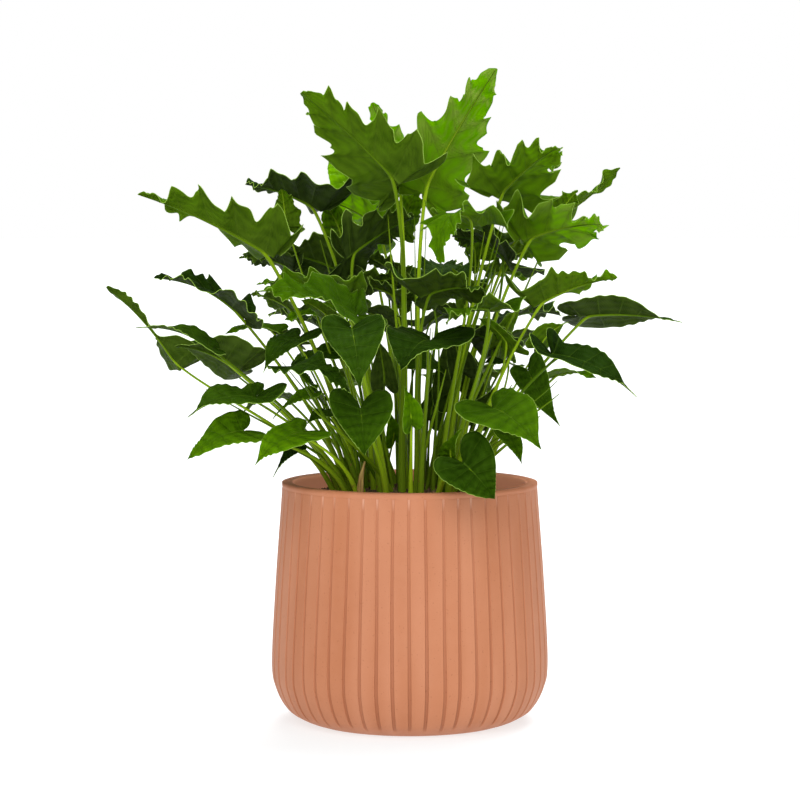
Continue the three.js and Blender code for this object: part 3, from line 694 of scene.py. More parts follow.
# %% [markdown]
# ## The soil
# Between the stalks a little dark, crumbly potting mix shows, mounded towards the middle and going green with
# moss in places. Particles could be strewn over a disc, but then each crumb would be an object of its own. So
# all is one mesh: the mound is a disc of points raised by the profile and roughened by sums of waves, and a
# few hundred crumbs, each a dented ball of a few faces, lie half sunk in it.

# %% The soil's mound
SOIL_RINGS = 70
SOIL_SPOKES = 180
SOIL_CLEAR = 0.6
SOIL_UNDER = np.array([[ON_AXIS, 14.5], [93, 14.5], [109, 60]])


def mound_height(radius, angle):
    """Height of the soil: flat crown, shoulder and edge, plus waves of several sizes."""
    places = [0, SOIL_CROWN, SOIL_SHOULDER[0], SOIL_EDGE[0]]
    base = np.interp(radius, places, [SOIL_TOP, SOIL_TOP, SOIL_SHOULDER[1], SOIL_EDGE[1]])
    x, y = radius * np.cos(angle), radius * np.sin(angle)
    waves = np.sin(0.31 * x + 1.3 * np.sin(0.17 * y)) + np.sin(0.43 * y + 1.1 * np.sin(0.23 * x))
    fine = np.sin(1.1 * x + 2 * np.sin(0.9 * y)) * np.sin(1.3 * y + 2 * np.sin(0.7 * x))
    return base + 0.5 * waves + 0.6 * fine - 1.0


def mound_points():
    """Rings of points: below, the planter's inside shape, then the surface from its edge to its middle."""
    radius = np.linspace(ON_AXIS, SOIL_EDGE[0] - SOIL_CLEAR, SOIL_RINGS)[::-1][:, None]
    angle = np.linspace(0, 2 * math.pi, SOIL_SPOKES, endpoint=False)[None, :]
    under = on_rings(SOIL_UNDER[:, :1], angle, SOIL_UNDER[:, 1:])
    return np.concatenate([under, on_rings(radius, angle, mound_height(radius, angle))])


print("mound:", mound_points().shape[:2], "rings and spokes")

# %% Crumbs and the whole soil
CRUMBS = 700
CRUMB_RINGS = 5
CRUMB_SPOKES = 6
CRUMB_SPREAD = 97
MOUND_SHADE = 0.3


def crumb_points(draw):
    """Dented, stretched balls, seated on the mound at places that are even over its area."""
    polar = np.linspace(0, math.pi, CRUMB_RINGS)[:, None]
    turn = np.linspace(0, 2 * math.pi, CRUMB_SPOKES, endpoint=False)[None, :]
    ball = on_rings(np.sin(polar), turn, np.cos(polar))
    size = draw.uniform(0.8, 2.6, CRUMBS)[:, None, None, None]
    stretch = draw.uniform(0.5, 1.2, (CRUMBS, 1, 1, 3))
    dents = draw.uniform(0.75, 1.15, (CRUMBS, CRUMB_RINGS, CRUMB_SPOKES, 1))
    dents[:, [0, -1]] = 1
    crumbs = ball[None] * size * stretch * dents
    spread = CRUMB_SPREAD * np.sqrt(draw.uniform(0, 1, CRUMBS))
    bearing = draw.uniform(0, 2 * math.pi, CRUMBS)
    return crumbs + on_rings(spread, bearing, mound_height(spread, bearing))[:, None, None, :]


def soil_mound(mix):
    """The mound and its crumbs as one piece, each crumb with a shade of its own."""
    draw = np.random.default_rng(SEEDS["soil"])
    points = mound_points()
    soil = Patchwork()
    soil.add(points, grid_faces(*points.shape[:2], around=True), (0, 0), MOUND_SHADE)
    crumbs = crumb_points(draw)
    faces = grid_faces(CRUMB_RINGS, CRUMB_SPOKES, around=True, flip=True)
    many = (faces[None] + CRUMB_RINGS * CRUMB_SPOKES * np.arange(CRUMBS)[:, None, None]).reshape(-1, 4)
    shade = np.broadcast_to(draw.uniform(0, 1, (CRUMBS, 1, 1)), crumbs.shape[:-1])
    soil.add(crumbs, many, (0, 0), shade)
    return soil.build("potting_soil", [mix], smooth=False)


print(CRUMBS, "crumbs of", len(grid_faces(CRUMB_RINGS, CRUMB_SPOKES, around=True)), "faces")

# %% [markdown]
# ## The soil finish
# Damp peat is nearly black-brown, with lighter fibres and a dusting of green. One brown for all would look
# like plastic. A material for each crumb would be too many, so each crumb's points carry a shade that one
# material reads, and noise decides where moss has settled.

# %% Soil material
PEAT_DARK, PEAT_PALE = (0.035, 0.018, 0.009, 1), (0.20, 0.115, 0.055, 1)
FIBRE_BROWN = (0.26, 0.16, 0.08, 1)
MOSS_GREEN = (0.10, 0.13, 0.025, 1)


def soil_finish():
    """Each crumb's shade from dark to pale peat, then lighter fibres, then moss where slow noise is high."""
    earth = Recipe("potting_mix")
    fibre = earth.noise(380, 4, 0.7)
    moss = earth.noise(28, 3).rise(0.52, 0.66)
    shade = earth.attribute("tone")
    body = earth.mix(shade, PEAT_DARK, PEAT_PALE)
    body = earth.mix(fibre.rise(0.45, 0.75) * 0.6, body, FIBRE_BROWN)
    body = earth.mix(moss * fibre.rise(0.3, 0.6) * 0.6, body, MOSS_GREEN)
    return earth.finish(Base_Color=body, Roughness=0.92, Normal=earth.bump(fibre, 0.6, 0.0015))


soil = soil_mound(soil_finish())
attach(soil, "root")
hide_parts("soil")
print("soil:", len(soil.data.polygons), "faces")

# %% [markdown]
# ## The outline and the bend of a blade
# The leaves are alike in plan and all different in shape. A plane pushed into shape by hand could make one
# of them, but one formula makes them all, and it is the one that shaped the solids.
# A blade is two halves, left and right of the midrib. Walk along the margin from the notch at the back to
# the tip: s goes from 0 to 1. Walk out from the midrib to the margin: t goes from 0 to 1. A rib at s starts
# on the midrib, points backwards in the back lobe and forwards near the tip, and its length draws the
# outline. Fine teeth and small ruffles, too small for the solids, are added in the same two parameters.

# %% One leaf's numbers
LEAF_PHASE = 2.4
ROOT_SPREAD = 54
ROOT_MIDDLE = 8
ROOT_LEAN = 0.6


def unit(vector):
    """The vector, or each vector of an array, at length 1."""
    length = np.linalg.norm(vector, axis=-1, keepdims=True)
    return vector / np.maximum(length, 1e-12)


def root_of(base):
    """Where the stalk leaves the soil: the more it leans, the farther out."""
    lean = math.hypot(base[0], base[1]) / (base[2] - SOIL_TOP)
    radius = ROOT_MIDDLE + ROOT_SPREAD * (1 - math.exp(-lean / ROOT_LEAN))
    azimuth = math.atan2(base[1], base[0])
    return [radius * math.cos(azimuth), radius * math.sin(azimuth)]


class Leaf:
    """One leaf's numbers and axes: u from base to tip, n out of the upper side, v to the left."""

    def __init__(self, index, row):
        kind, colour, base, tip, face = row[:5]
        self.width, self.fold, self.arch, self.lift, self.wave, self.stem = row[5:11]
        self.kind, self.colour, self.form, self.index = kind, colour, FORMS[kind], index
        self.name = f"leaf_{index + 1:02d}"
        self.phase = LEAF_PHASE * index
        self.base = np.array(base, float)
        axis = np.array(tip, float) - self.base
        self.length = np.linalg.norm(axis)
        self.u = axis / self.length
        facing = np.array(face, float)
        self.n = unit(facing - facing @ self.u * self.u)
        self.v = np.cross(self.n, self.u)
        self.root = row[11] if len(row) > 11 else root_of(self.base)


print("first leaf:", Leaf(0, LEAVES[0]).length.round(1), "mm from base to tip")

# %% Outline of a blade
BASE_SHARE = 0.2
REACH = 1.15
SINUS_DEPTH = 0.8
SINUS_WIDTH = 0.06
UNEVEN = 0.1
UNEVEN_RATE = 7.3
TIP_POINT = 0.6
TIP_RATE = 5
LAST_CUT = 8
TEETH = {"lobed": 0.055, "notched": 0.026, "waisted": 0.014, "heart": 0.003, "small": 0.004}


def cut_at(form, s):
    """1 in the notch between two lobes, 0 along a lobe, and fading to 0 at the tip."""
    wave = np.abs(np.cos(math.pi * form["lobes"] * s)) ** form["sharp"]
    return wave * (1 - s**LAST_CUT) if form["lobes"] else 0 * wave


def reach_at(leaf, s, phase):
    """Rib length over half width: a falling envelope, a base notch, a drawn-out tip, cuts and teeth."""
    form = leaf.form
    envelope = REACH * (1 - s) ** form["taper"] * (1 - SINUS_DEPTH * np.exp(-s / SINUS_WIDTH))
    envelope = envelope * (1 - TIP_POINT * s**TIP_RATE)
    count = math.pi * (13 * s + 0.5 * np.sin(7 * s + 2 * phase)) + phase
    teeth = TEETH[leaf.kind] * (1.3 - 2 * np.abs(np.sin(count))) * (1 + 0.6 * np.sin(19 * s + phase))
    uneven = 1 + UNEVEN * np.sin(UNEVEN_RATE * s + phase)
    return envelope * (1 - form["cut"] * cut_at(form, s)) * uneven * (1 + teeth)


print("cuts between lobes:", {kind: form["cut"] for kind, form in FORMS.items()})

# %% Surface of a blade
TIP_ANGLE = 42
SIDE_PHASE = 1.7
CALM_TIP = 6
FRILL_RATE = 11
FRILL_START = 12
PUCKER = 0.045
CREASE = 0.022
CREASE_RATE = 1.7
CRINKLED = {"lobed": 1, "notched": 0.8, "waisted": 0.5, "heart": 0.4, "small": 0.4}
FRILL = {"lobed": 2.3, "notched": 1.5, "waisted": 0.9, "heart": 0.5, "small": 0.4}


def blade_points(leaf, side, s, t):
    """Base + u x + v side y + n height; height sums arch, fold, ruffle, pleats, frill and puckers."""
    form = leaf.form
    phase = leaf.phase + SIDE_PHASE * side
    along = leaf.length * np.maximum(s - BASE_SHARE, 0) / (1 - BASE_SHARE)
    spread = TIP_ANGLE + (form["back"] - TIP_ANGLE) * (1 - s) ** form["ease"]
    angle = np.radians(spread - form["lean"] * (1 - cut_at(form, s)))
    reach = t * leaf.width * reach_at(leaf, s, phase)
    x = np.minimum(along + reach * np.cos(angle), leaf.length)
    y = reach * np.sin(angle)
    calm = np.minimum(1, CALM_TIP * (1 - s))
    ruffle = leaf.wave * t**2 * calm * np.sin(2 * math.pi * form["ruffles"] * s + phase)
    pleat = form["pleat"] * t * calm * (1 - 2 * cut_at(form, s))
    ripple = np.sin(2 * math.pi * (FRILL_RATE * s + 0.5 * np.sin(8 * s + phase)) + 2 * phase)
    ripple = ripple * (1 + 0.5 * np.sin(11 * s + 3 * phase))
    frill = FRILL[leaf.kind] * t**4 * calm * ripple * np.minimum(1, FRILL_START * s)
    rib = np.abs(np.sin(math.pi * form["veins"] * s))
    crinkled = CRINKLED[leaf.kind] * leaf.width * calm
    pucker = PUCKER * crinkled * (1 - rib**4) * 4 * t * (1 - t)
    waves = np.sin(2 * math.pi * (CREASE_RATE * form["veins"] * s + t) + phase)
    crease = CREASE * crinkled * waves * t * (1 - t)
    arch = np.where(x > 0, 4 * leaf.arch * x * (1 - x / leaf.length), -leaf.lift * x)
    height = arch + leaf.fold * y + ruffle + pleat + frill + pucker + crease
    return leaf.base + x[..., None] * leaf.u + (side * y)[..., None] * leaf.v + height[..., None] * leaf.n


print("the first leaf ends at", blade_points(Leaf(0, LEAVES[0]), 1, np.array(1.0), np.array(0.0)).round(1))

# %% [markdown]
# ## From a sheet to a blade with two sides
# A real blade is about half a millimetre thick, glossy above and dull below. A Solidify modifier could
# thicken a sheet, but here the two sides need their own finishes and a blade that thins out to its margin.
# So the middle surface is moved half the thickness both ways along its own normals, and a narrow strip
# closes the margin. The normals come from the grid's own slopes, shared where the two halves meet at the
# midrib and where all ribs meet at the base.

# %% Blade with thickness
BLADE_THICK = 0.7
MARGIN_THICK = 0.35
T_POWER = 1.25
TONE_BASE, TONE_TIP, TONE_MARGIN = 0.40, 0.72, 0.2
UPPER, UNDER, STALK = 0, 1, 2


def blade_normals(points, sides):
    """Cross product of the slopes along s and t, turned to the upper side and shared along the seams."""
    slope_s = np.gradient(points, axis=1)
    slope_t = np.gradient(points, axis=2)
    normal = unit(np.cross(slope_s, slope_t) * np.array(sides)[:, None, None, None])
    normal[:, :, 0] = unit(normal[:, :, 1].sum(0))[None]
    normal[:, -1] = unit(normal[:, -2].sum((0, 1)))
    return normal


def add_blade(patches, leaf, tone, rows, columns):
    """Both halves of the blade, above and below, with the margin strip between them."""
    sides = (1, -1)
    s = np.linspace(0, 1, rows)[:, None] + np.zeros((1, columns))
    t = (np.linspace(0, 1, columns) ** T_POWER)[None, :] + np.zeros((rows, 1))
    middle = np.stack([blade_points(leaf, side, s, t) for side in sides])
    normal = blade_normals(middle, sides)
    base = s[:, 0] <= BASE_SHARE
    normal[:, base, 0] = unit(normal[:, base, 0].sum((0, 1)))
    half = 0.5 * (BLADE_THICK + (MARGIN_THICK - BLADE_THICK) * t**2)[None, ..., None]
    above, below = middle + half * normal, middle - half * normal
    uv = pair(s * leaf.form["veins"], t)
    tone = np.clip(tone * (TONE_BASE + TONE_TIP * s + TONE_MARGIN * t**2), 0, 1)
    across = np.zeros((1, 2))
    for k, side in enumerate(sides):
        patches.add(above[k], grid_faces(rows, columns, flip=side > 0), uv, tone, UPPER)
        patches.add(below[k], grid_faces(rows, columns, flip=side < 0), uv, tone, UNDER)
        margin = np.stack([above[k][:, -1], below[k][:, -1]], 1)
        margin_uv = pair(s[:, -1:] * leaf.form["veins"], 1 + across)
        patches.add(margin, grid_faces(rows, 2, flip=side > 0), margin_uv, tone[:, -2:], UPPER)
        notch = np.stack([above[k][0], below[k][0]], 1)
        notch_uv = pair(0.0, t[0][:, None] + across)
        patches.add(notch, grid_faces(columns, 2, flip=side > 0), notch_uv, tone[0][:, None] + across, UPPER)


trial = Patchwork()
add_blade(trial, Leaf(0, LEAVES[0]), 0.5, 9, 5)
print("a coarse blade has", trial.count, "points")

# %% [markdown]
# ## The stalk
# A philodendron's stalk is round and fleshy, with a broad sheath where it leaves the crown, and it runs on
# under the blade as the raised midrib. A curve object with a bevel would make a tube too, but it couldn't
# follow the blade's bend. So the tube is worked out: a ring of points is carried along a curve from the soil
# to the blade and on to the tip, thinner all the way.

# %% Tubes
def bezier(handles, share):
    """A cubic Bezier curve: each of four points weighs by its share of the way, at several shares at once."""
    rest = 1 - share
    weights = np.stack([rest**3, 3 * share * rest**2, 3 * share**2 * rest, share**3], -1)
    return weights @ np.array(handles)


def carried_ring(points, radii, sides):
    """A ring about each point of the curve, square to it, its first arm being a fixed hint turned square."""
    along = unit(np.gradient(points, axis=0))
    hint = unit(np.cross(points[-1] - points[0], [0.31, 0.52, 0.17]))
    across = unit(hint - (along @ hint)[:, None] * along)
    third = np.cross(along, across)
    angle = np.linspace(0, 2 * math.pi, sides, endpoint=False)
    ring = np.cos(angle)[None, :, None] * across[:, None] + np.sin(angle)[None, :, None] * third[:, None]
    return points[:, None] + radii[:, None, None] * ring


def close_ends(points, rings):
    """The rings with a last one at each end, drawn together on the curve's end point."""
    return np.concatenate([points[:1, None] + 0 * rings[:1], rings, points[-1:, None] + 0 * rings[:1]])


def tube_uv(rings):
    """U runs round the tube and V from its first ring to its last, both from 0 to 1."""
    count, sides = rings.shape[:2]
    return pair(np.linspace(0, 1, sides, endpoint=False)[None, :], np.linspace(0, 1, count)[:, None])


def add_tube(patches, points, radii, sides, tone, number):
    """A closed tube: a ring for each point of the curve, drawn together at both ends."""
    rings = close_ends(points, carried_ring(points, radii, sides))
    patches.add(rings, grid_faces(*rings.shape[:2], around=True), tube_uv(rings), tone, number)


straight = np.array([[0, 0, 0], [0, 0, 10], [0, 0, 20]])
print("a tube of 3 rings gets", len(close_ends(straight, carried_ring(straight, np.ones(3), 8))), "rings")

# %% Stalk
ROOT_DEPTH = 14
ROOT_CLEAR = 6
SHEATH = 1.7
STEM_TAPER = 0.35
STEM_REACH = 8
STEM_UPRIGHT = 0.8
STEM_HANDLE = 0.33
STEM_TURN = 0.3
STALK_SIDES = 12
STALK_STEPS = 44
KNEE, KNEE_PLACE, KNEE_WIDTH = 0.22, 0.965, 0.03
MIDRIB_STEPS = 26
MIDRIB_FROM_TIP = 0.985
MIDRIB_SUNK = 0.55
MIDRIB_END = 0.25
SMOOTH_PASSES = 3


def stalk_curve(leaf):
    """Points and radii: straight out of the soil, a cubic Bezier to the blade, then along the midrib."""
    bottom = np.array([*leaf.root, SOIL_TOP - ROOT_DEPTH], float)
    joint = BASE_SHARE + (1 - BASE_SHARE) * STEM_REACH / leaf.length
    end = blade_points(leaf, 1, np.array(joint), np.array(0.0))
    rise = unit(unit(end - bottom) + np.array([0, 0, STEM_UPRIGHT]))
    start = bottom + rise * (ROOT_DEPTH + ROOT_CLEAR) / rise[2]
    span = np.linalg.norm(end - start)
    arrive = unit(unit(end - start) + STEM_TURN * leaf.u)
    share = np.linspace(0, 1, STALK_STEPS)
    stem = bezier([start, start + STEM_HANDLE * span * rise, end - STEM_HANDLE * span * arrive, end], share)
    sheath = leaf.stem * SHEATH
    radii = leaf.stem * (1 - STEM_TAPER * share) + (sheath - leaf.stem) * (1 - share) ** 3
    radii = radii * (1 + KNEE * np.exp(-(((share - KNEE_PLACE) / KNEE_WIDTH) ** 2)))
    rib_s = np.linspace(joint, MIDRIB_FROM_TIP, MIDRIB_STEPS)[1:]
    rib = blade_points(leaf, 1, rib_s, np.zeros_like(rib_s))
    rib_radii = np.linspace(radii[-1], MIDRIB_END, MIDRIB_STEPS)[1:]
    points = np.vstack([bottom[None], stem, rib - leaf.n * (MIDRIB_SUNK * rib_radii)[:, None]])
    for _ in range(SMOOTH_PASSES):
        points[1:-1] = 0.25 * points[:-2] + 0.5 * points[1:-1] + 0.25 * points[2:]
    return points, np.concatenate([[sheath], radii, rib_radii])


print("first stalk:", len(stalk_curve(Leaf(0, LEAVES[0]))[0]), "rings")

# %% [markdown]
# ## Leaf finishes
# The upper side is deep green with a waxy film that turns grey where it mirrors the light, paler veins and a
# thin light edge. The underside is duller and more yellow, and its veins stand out. Light also passes through
# a blade, which is why the top leaves glow when they are seen from below: a share of each finish is a
# translucent shader. One number for each leaf, its tone, runs from old dark leaves to young yellow ones. A
# picture of a leaf could bring its veins along, but not for every outline and bend. So the veins are drawn
# from the UV map, in which U counts the ribs and V runs from the midrib to the margin.
# On top of the real gloss and light, the swellings between the veins are painted lighter and the creases
# darker, and old leaves carry a painted grey-green sheen.

# %% Veins and light in a leaf
LEAF_LIGHT = (0.46, 0.72, 0.006, 1)
LEAF_GLOSS = (0.55, 0.9, 0.10, 1)


def vein_mask(skin, width):
    """Near 1 on the midrib and the side ribs; then the fine net of veins, and the place across the half."""
    uv = skin.uv()
    ribs, out = skin.part_of(uv, 0), skin.part_of(uv, 1)
    off_rib = abs(ribs.fraction() - 0.5)
    lateral = (1 - off_rib.rise(0, width)) * (1 - 0.75 * out)
    midrib = 1 - out.rise(0.01, 0.05)
    branch = abs((out * 7 + off_rib * 9).fraction() - 0.5)
    net = (1 - branch.rise(0, 0.16)) * (1 - out.rise(0.75, 0.98)) * out.rise(0.05, 0.2)
    return (lateral + midrib).held(), net, out


def quilted(skin, out):
    """Soft cells between the side veins, 0 in the creases and 1 on the swellings, bent by a slow noise."""
    drift = skin.noise(38, 2) * 1.3
    cells = abs((skin.part_of(skin.uv(), 0) + 0.6 * out + drift).fraction() - 0.5) * 2
    cross = abs((out * 3.2 + drift * 1.6).fraction() - 0.5) * 2
    return (cells.rise(0.1, 0.8) * 0.6 + cross.rise(0.1, 0.9) * 0.4).held()


def thin_skin(skin, share):
    """Mixes the finished shader with light that comes through from the far side."""
    glow = skin.node("BsdfTranslucent", {}, {"Color": LEAF_LIGHT})
    mixed = skin.node("MixShader", {}, {0: share, 1: Term(skin, skin.shader.outputs[0]), 2: glow})
    skin.feed(skin.tree.nodes["Material Output"].inputs["Surface"], mixed)
    return skin.material


print("light through a leaf:", LEAF_LIGHT[:3])

# %% The upper side
UPPER_VEIN = (0.14, 0.27, 0.02, 1)
MARGIN_COLOUR = (0.36, 0.56, 0.09, 1)
MARGIN = (0.982, 0.994)
UPPER_OLD, UPPER_YOUNG = (0.0032, 0.0125, 0.0004, 1), (0.07, 0.2, 0.0006, 1)
UPPER_OLD_PAINTED_SHEEN, UPPER_YOUNG_PAINTED_LIGHT = (0.015, 0.042, 0.004, 1), (0.16, 0.36, 0.001, 1)


def upper_finish():
    """Dark green between paler veins, glossy, with painted light and sheen, and swellings and dents as
    relief.
    """
    skin = Recipe("leaf_upper_side")
    veins, net, out = vein_mask(skin, 0.05)
    cells = quilted(skin, out)
    tone = skin.attribute("tone")
    patch = skin.noise(30, 3)
    grain = skin.noise(900, 2)
    wrinkle = skin.noise(130, 4)
    body = skin.mix(tone, UPPER_OLD, UPPER_YOUNG)
    # Random patches and the swellings between veins turn lighter and the creases stay darker: painted light
    # and shade; on old leaves the lighter colour is a painted grey-green sheen.
    light = skin.mix(tone, UPPER_OLD_PAINTED_SHEEN, UPPER_YOUNG_PAINTED_LIGHT)
    body = skin.mix((patch.rise(0.35, 0.7) * 0.5 + cells * 0.5).held(), body, light)
    body = skin.mix((veins * 0.3 + net * 0.05).held(), body, UPPER_VEIN)
    body = skin.mix(out.rise(*MARGIN), body, MARGIN_COLOUR)
    relief = grain * 0.06 + wrinkle * 0.5 + patch * 0.3 + cells * 0.5 - veins * 0.6 - net * 0.2
    skin.finish(Base_Color=body, Roughness=0.34 + 0.16 * patch, Specular_IOR_Level=0.1,
                Specular_Tint=LEAF_GLOSS, Normal=skin.bump(relief, 0.8, 0.003))
    through = (0.02 + 0.32 * tone) * (1 - 0.5 * veins) * (0.35 + 0.7 * patch + 0.5 * cells)
    return thin_skin(skin, through.held())


upper_side = upper_finish()
print("finish:", upper_side.name, "with", len(upper_side.node_tree.nodes), "nodes")

# %% The underside
UNDER_VEIN = (0.16, 0.28, 0.02, 1)
PALE_TIP_AND_PAINTED_GLOW = (0.45, 0.60, 0.11, 1)
UNDER_OLD, UNDER_YOUNG = (0.010, 0.022, 0.002, 1), (0.08, 0.185, 0.0008, 1)
UNDER_OLD_PAINTED_SHEEN, UNDER_YOUNG_PAINTED_LIGHT = (0.032, 0.052, 0.012, 1), (0.29, 0.49, 0.012, 1)


def under_finish():
    """Paler and duller than above, with raised veins, more light through it, and painted light and sheen."""
    skin = Recipe("leaf_underside")
    veins, net, out = vein_mask(skin, 0.06)
    cells = quilted(skin, out)
    tone = skin.attribute("tone")
    patch = skin.noise(26, 3)
    grain = skin.noise(800, 2)
    wrinkle = skin.noise(110, 4)
    body = skin.mix(tone, UNDER_OLD, UNDER_YOUNG)
    # Random patches and the swellings between veins turn lighter and the creases stay darker: painted light
    # and shade; on old leaves the lighter colour is a painted grey-green sheen.
    light = skin.mix(tone, UNDER_OLD_PAINTED_SHEEN, UNDER_YOUNG_PAINTED_LIGHT)
    body = skin.mix((patch.rise(0.35, 0.7) * 0.42 + cells * 0.55).held(), body, light)
    # Young blades turn paler towards the tip; the pale colour also stands in for light shining through:
    # painted glow.
    body = skin.mix(tone.rise(0.6, 0.95) * 0.55, body, PALE_TIP_AND_PAINTED_GLOW)
    body = skin.mix((veins * 0.25 + net * 0.05).held(), body, UNDER_VEIN)
    body = skin.mix(out.rise(*MARGIN), body, MARGIN_COLOUR)
    relief = grain * 0.06 + wrinkle * 0.6 + patch * 0.3 - cells * 0.5 + veins * 0.6 + net * 0.2
    skin.finish(Base_Color=body, Roughness=0.5 + 0.14 * patch, Specular_IOR_Level=0.1,
                Specular_Tint=LEAF_GLOSS, Normal=skin.bump(relief, 0.8, 0.003))
    through = (0.06 + 0.9 * tone) * (1 - 0.45 * veins) * (0.8 * patch + 0.95 * cells)
    return thin_skin(skin, through.held())


underside = under_finish()
print("finish:", underside.name, "with", len(underside.node_tree.nodes), "nodes")

# %% [markdown]
# ## The stalk's finish
# Stalks are bright, juicy green, streaked along their length, paler in the sheath and sometimes flecked with
# brown. Plain noise would give round spots, so the streaks use the stalk's own UV map, stretched so that
# they run along it.

# %% Stalk material
STALK_OLD, STALK_YOUNG = (0.018, 0.055, 0.001, 1), (0.36, 0.55, 0.012, 1)
SHEATH_GREEN = (0.30, 0.42, 0.03, 1)
STREAK_GREEN = (0.035, 0.10, 0.003, 1)
FLECK_BROWN = (0.17, 0.085, 0.03, 1)
STREAK_STRETCH = (14, 3, 1)


def stalk_finish():
    """Green by tone, paler at the foot, with long streaks and a few brown flecks near the soil."""
    stalk = Recipe("leaf_stalk_skin")
    uv = stalk.uv()
    streak = stalk.noise(1, 4, place=stalk.stretched(uv, STREAK_STRETCH))
    fleck = stalk.noise(240, 2).rise(0.66, 0.74)
    along = stalk.part_of(uv, 1)
    body = stalk.mix(stalk.attribute("tone"), STALK_OLD, STALK_YOUNG)
    body = stalk.mix((1 - along.rise(0.02, 0.2)) * 0.3, body, SHEATH_GREEN)
    body = stalk.mix(streak.rise(0.35, 0.7) * 0.5, body, STREAK_GREEN)
    body = stalk.mix(fleck * (1 - along.rise(0.1, 0.35)) * 0.7, body, FLECK_BROWN)
    return stalk.finish(Base_Color=body, Roughness=0.36 + 0.14 * streak, Specular_IOR_Level=0.22,
                        Specular_Tint=LEAF_GLOSS, Normal=stalk.bump(streak, 0.25, 0.0005))


leaf_finishes = [upper_side, underside, stalk_finish()]
print("a leaf's finishes:", [finish.name for finish in leaf_finishes])

# %% [markdown]
# ## Every leaf
# A few leaves copied and turned would make a bush as well, but the eye soon finds the copies. So each row of
# the table becomes a piece of its own, blade, stalk and midrib, with the three finishes on it. How fine
# a blade's grid has to be depends on how deeply it is cut. A tone is drawn for each leaf, from old dark green
# to young yellow, and the midrib fades from the stalk's tone to the blade's.

# %% Every leaf
GRID = {"lobed": (157, 13), "notched": (129, 12), "waisted": (113, 9), "heart": (97, 11), "small": (65, 8)}
TONE = {"dark": (0.0, 0.24), "bright": (0.36, 0.68), "young": (0.85, 1)}
STALK_TONE, STALK_TONE_LEAF, STALK_TONE_SPREAD = 0.1, 0.6, 0.55
RIB_TONE = 0.35
RIB_DARKER = 0.55
BOX_INSET = 0.02
BOX_LOW = np.array(CAD_BOX[0]) / MM + [BOX_INSET, BOX_INSET, 0]
BOX_HIGH = np.array(CAD_BOX[1]) / MM - BOX_INSET


def stalk_tones(leaf, tone):
    """One value a ring: each stalk has its own, and the midrib fades to the blade's."""
    lower = STALK_TONE + STALK_TONE_LEAF * tone + STALK_TONE_SPREAD * math.sin(5.1 * leaf.index) ** 2
    rib = np.linspace(lower, RIB_TONE * tone, MIDRIB_STEPS + 1) * np.linspace(1, 0.75, MIDRIB_STEPS + 1)
    tones = np.concatenate([np.full(STALK_STEPS + 1, lower), RIB_DARKER * rib[:MIDRIB_STEPS - 1]])
    return np.clip(np.concatenate([tones[:1], tones, tones[-1:]]), 0, 1)[:, None]


def make_leaf(leaf, tone, finishes):
    """The blade, its stalk and its midrib as one piece."""
    patches = Patchwork()
    add_blade(patches, leaf, tone, *GRID[leaf.kind])
    points, radii = stalk_curve(leaf)
    add_tube(patches, points, radii, STALK_SIDES, stalk_tones(leaf, tone), STALK)
    patches.hold_inside(BOX_LOW, BOX_HIGH)
    piece = patches.build(f"frond_{leaf.index + 1:02d}", finishes)
    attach(piece, "root")
    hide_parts(leaf.name)
    return piece


tones = np.random.default_rng(SEEDS["leaves"])
leaves = [Leaf(index, row) for index, row in enumerate(LEAVES)]
fronds = [make_leaf(leaf, tones.uniform(*TONE[leaf.colour]), leaf_finishes) for leaf in leaves]
print(len(fronds), "leaves,", sum(len(f.data.polygons) for f in fronds), "faces")

# %% [markdown]
# ## Young growth inside the bush
# Between the big stalks stand thinner ones, with small leaves that the crown hides for the most part. They
# are what makes the middle of a healthy plant look dense and dark. A dark shape in the middle could stand in
# for them, but light has to fall between them. So the small leaves are made like the others. A row gives
# what differs, and a tail adds the five numbers that its group shares, from the fold to the stalk's
# thickness. The bare stalks lean from the crown towards the leaves above them.

# %% Rows of the inner leaves
SMALL_TAIL = [0.15, 0.1, 0.1, 2, 1.1]
LARGE_TAIL = [0.15, 0.1, 0.2, 3, 1.1]
SMALL_ROWS = [
    ["small", "dark", [46, 20, 302], [35, 10, 340], [0, 0.8, 0.6], 15],
    ["small", "dark", [-21, -10, 292], [-27, -20, 332], [0, 0.7, 0.7], 14],
    ["small", "bright", [79, 30, 325], [97, 40, 355], [0, 0.7, 0.7], 16],
    ["small", "dark", [2, 60, 363], [-10, 70, 393], [0, 0.8, 0.6], 15],
    ["small", "dark", [-44, 60, 372], [-61, 60, 397], [0, 0.6, 0.8], 16],
    ["small", "bright", [51, 40, 364], [37, 50, 392], [0, 0.8, 0.6], 16],
    ["small", "bright", [-65, 20, 343], [-95, 10, 365], [0, 0.5, 0.85], 17],
    ["small", "dark", [18, 60, 257], [27, 60, 294], [0, 0.8, 0.6], 15],
    ["small", "dark", [-49, -40, 256], [-68, -60, 283], [0, -0.6, 0.8], 13],
    ["small", "dark", [61, 10, 260], [76, 0, 292], [0, 0.7, 0.7], 14],
    ["small", "dark", [-77, -20, 280], [-97, -40, 305], [0, -0.5, 0.85], 14],
    ["small", "bright", [111, -30, 328], [135, -40, 348], [0, 0.5, 0.85], 15],
    ["small", "bright", [-13, 20, 242], [-19, 10, 269], [0, -0.7, 0.7], 11],
    ["small", "bright", [34, -40, 234], [44, -60, 259], [0, -0.8, 0.6], 10],
    ["small", "dark", [-95, 10, 326], [-123, 0, 339], [0, 0.4, 0.9], 14],
    ["small", "dark", [26, -10, 357], [5, -10, 369], [0, 0.3, 0.95], 15],
]
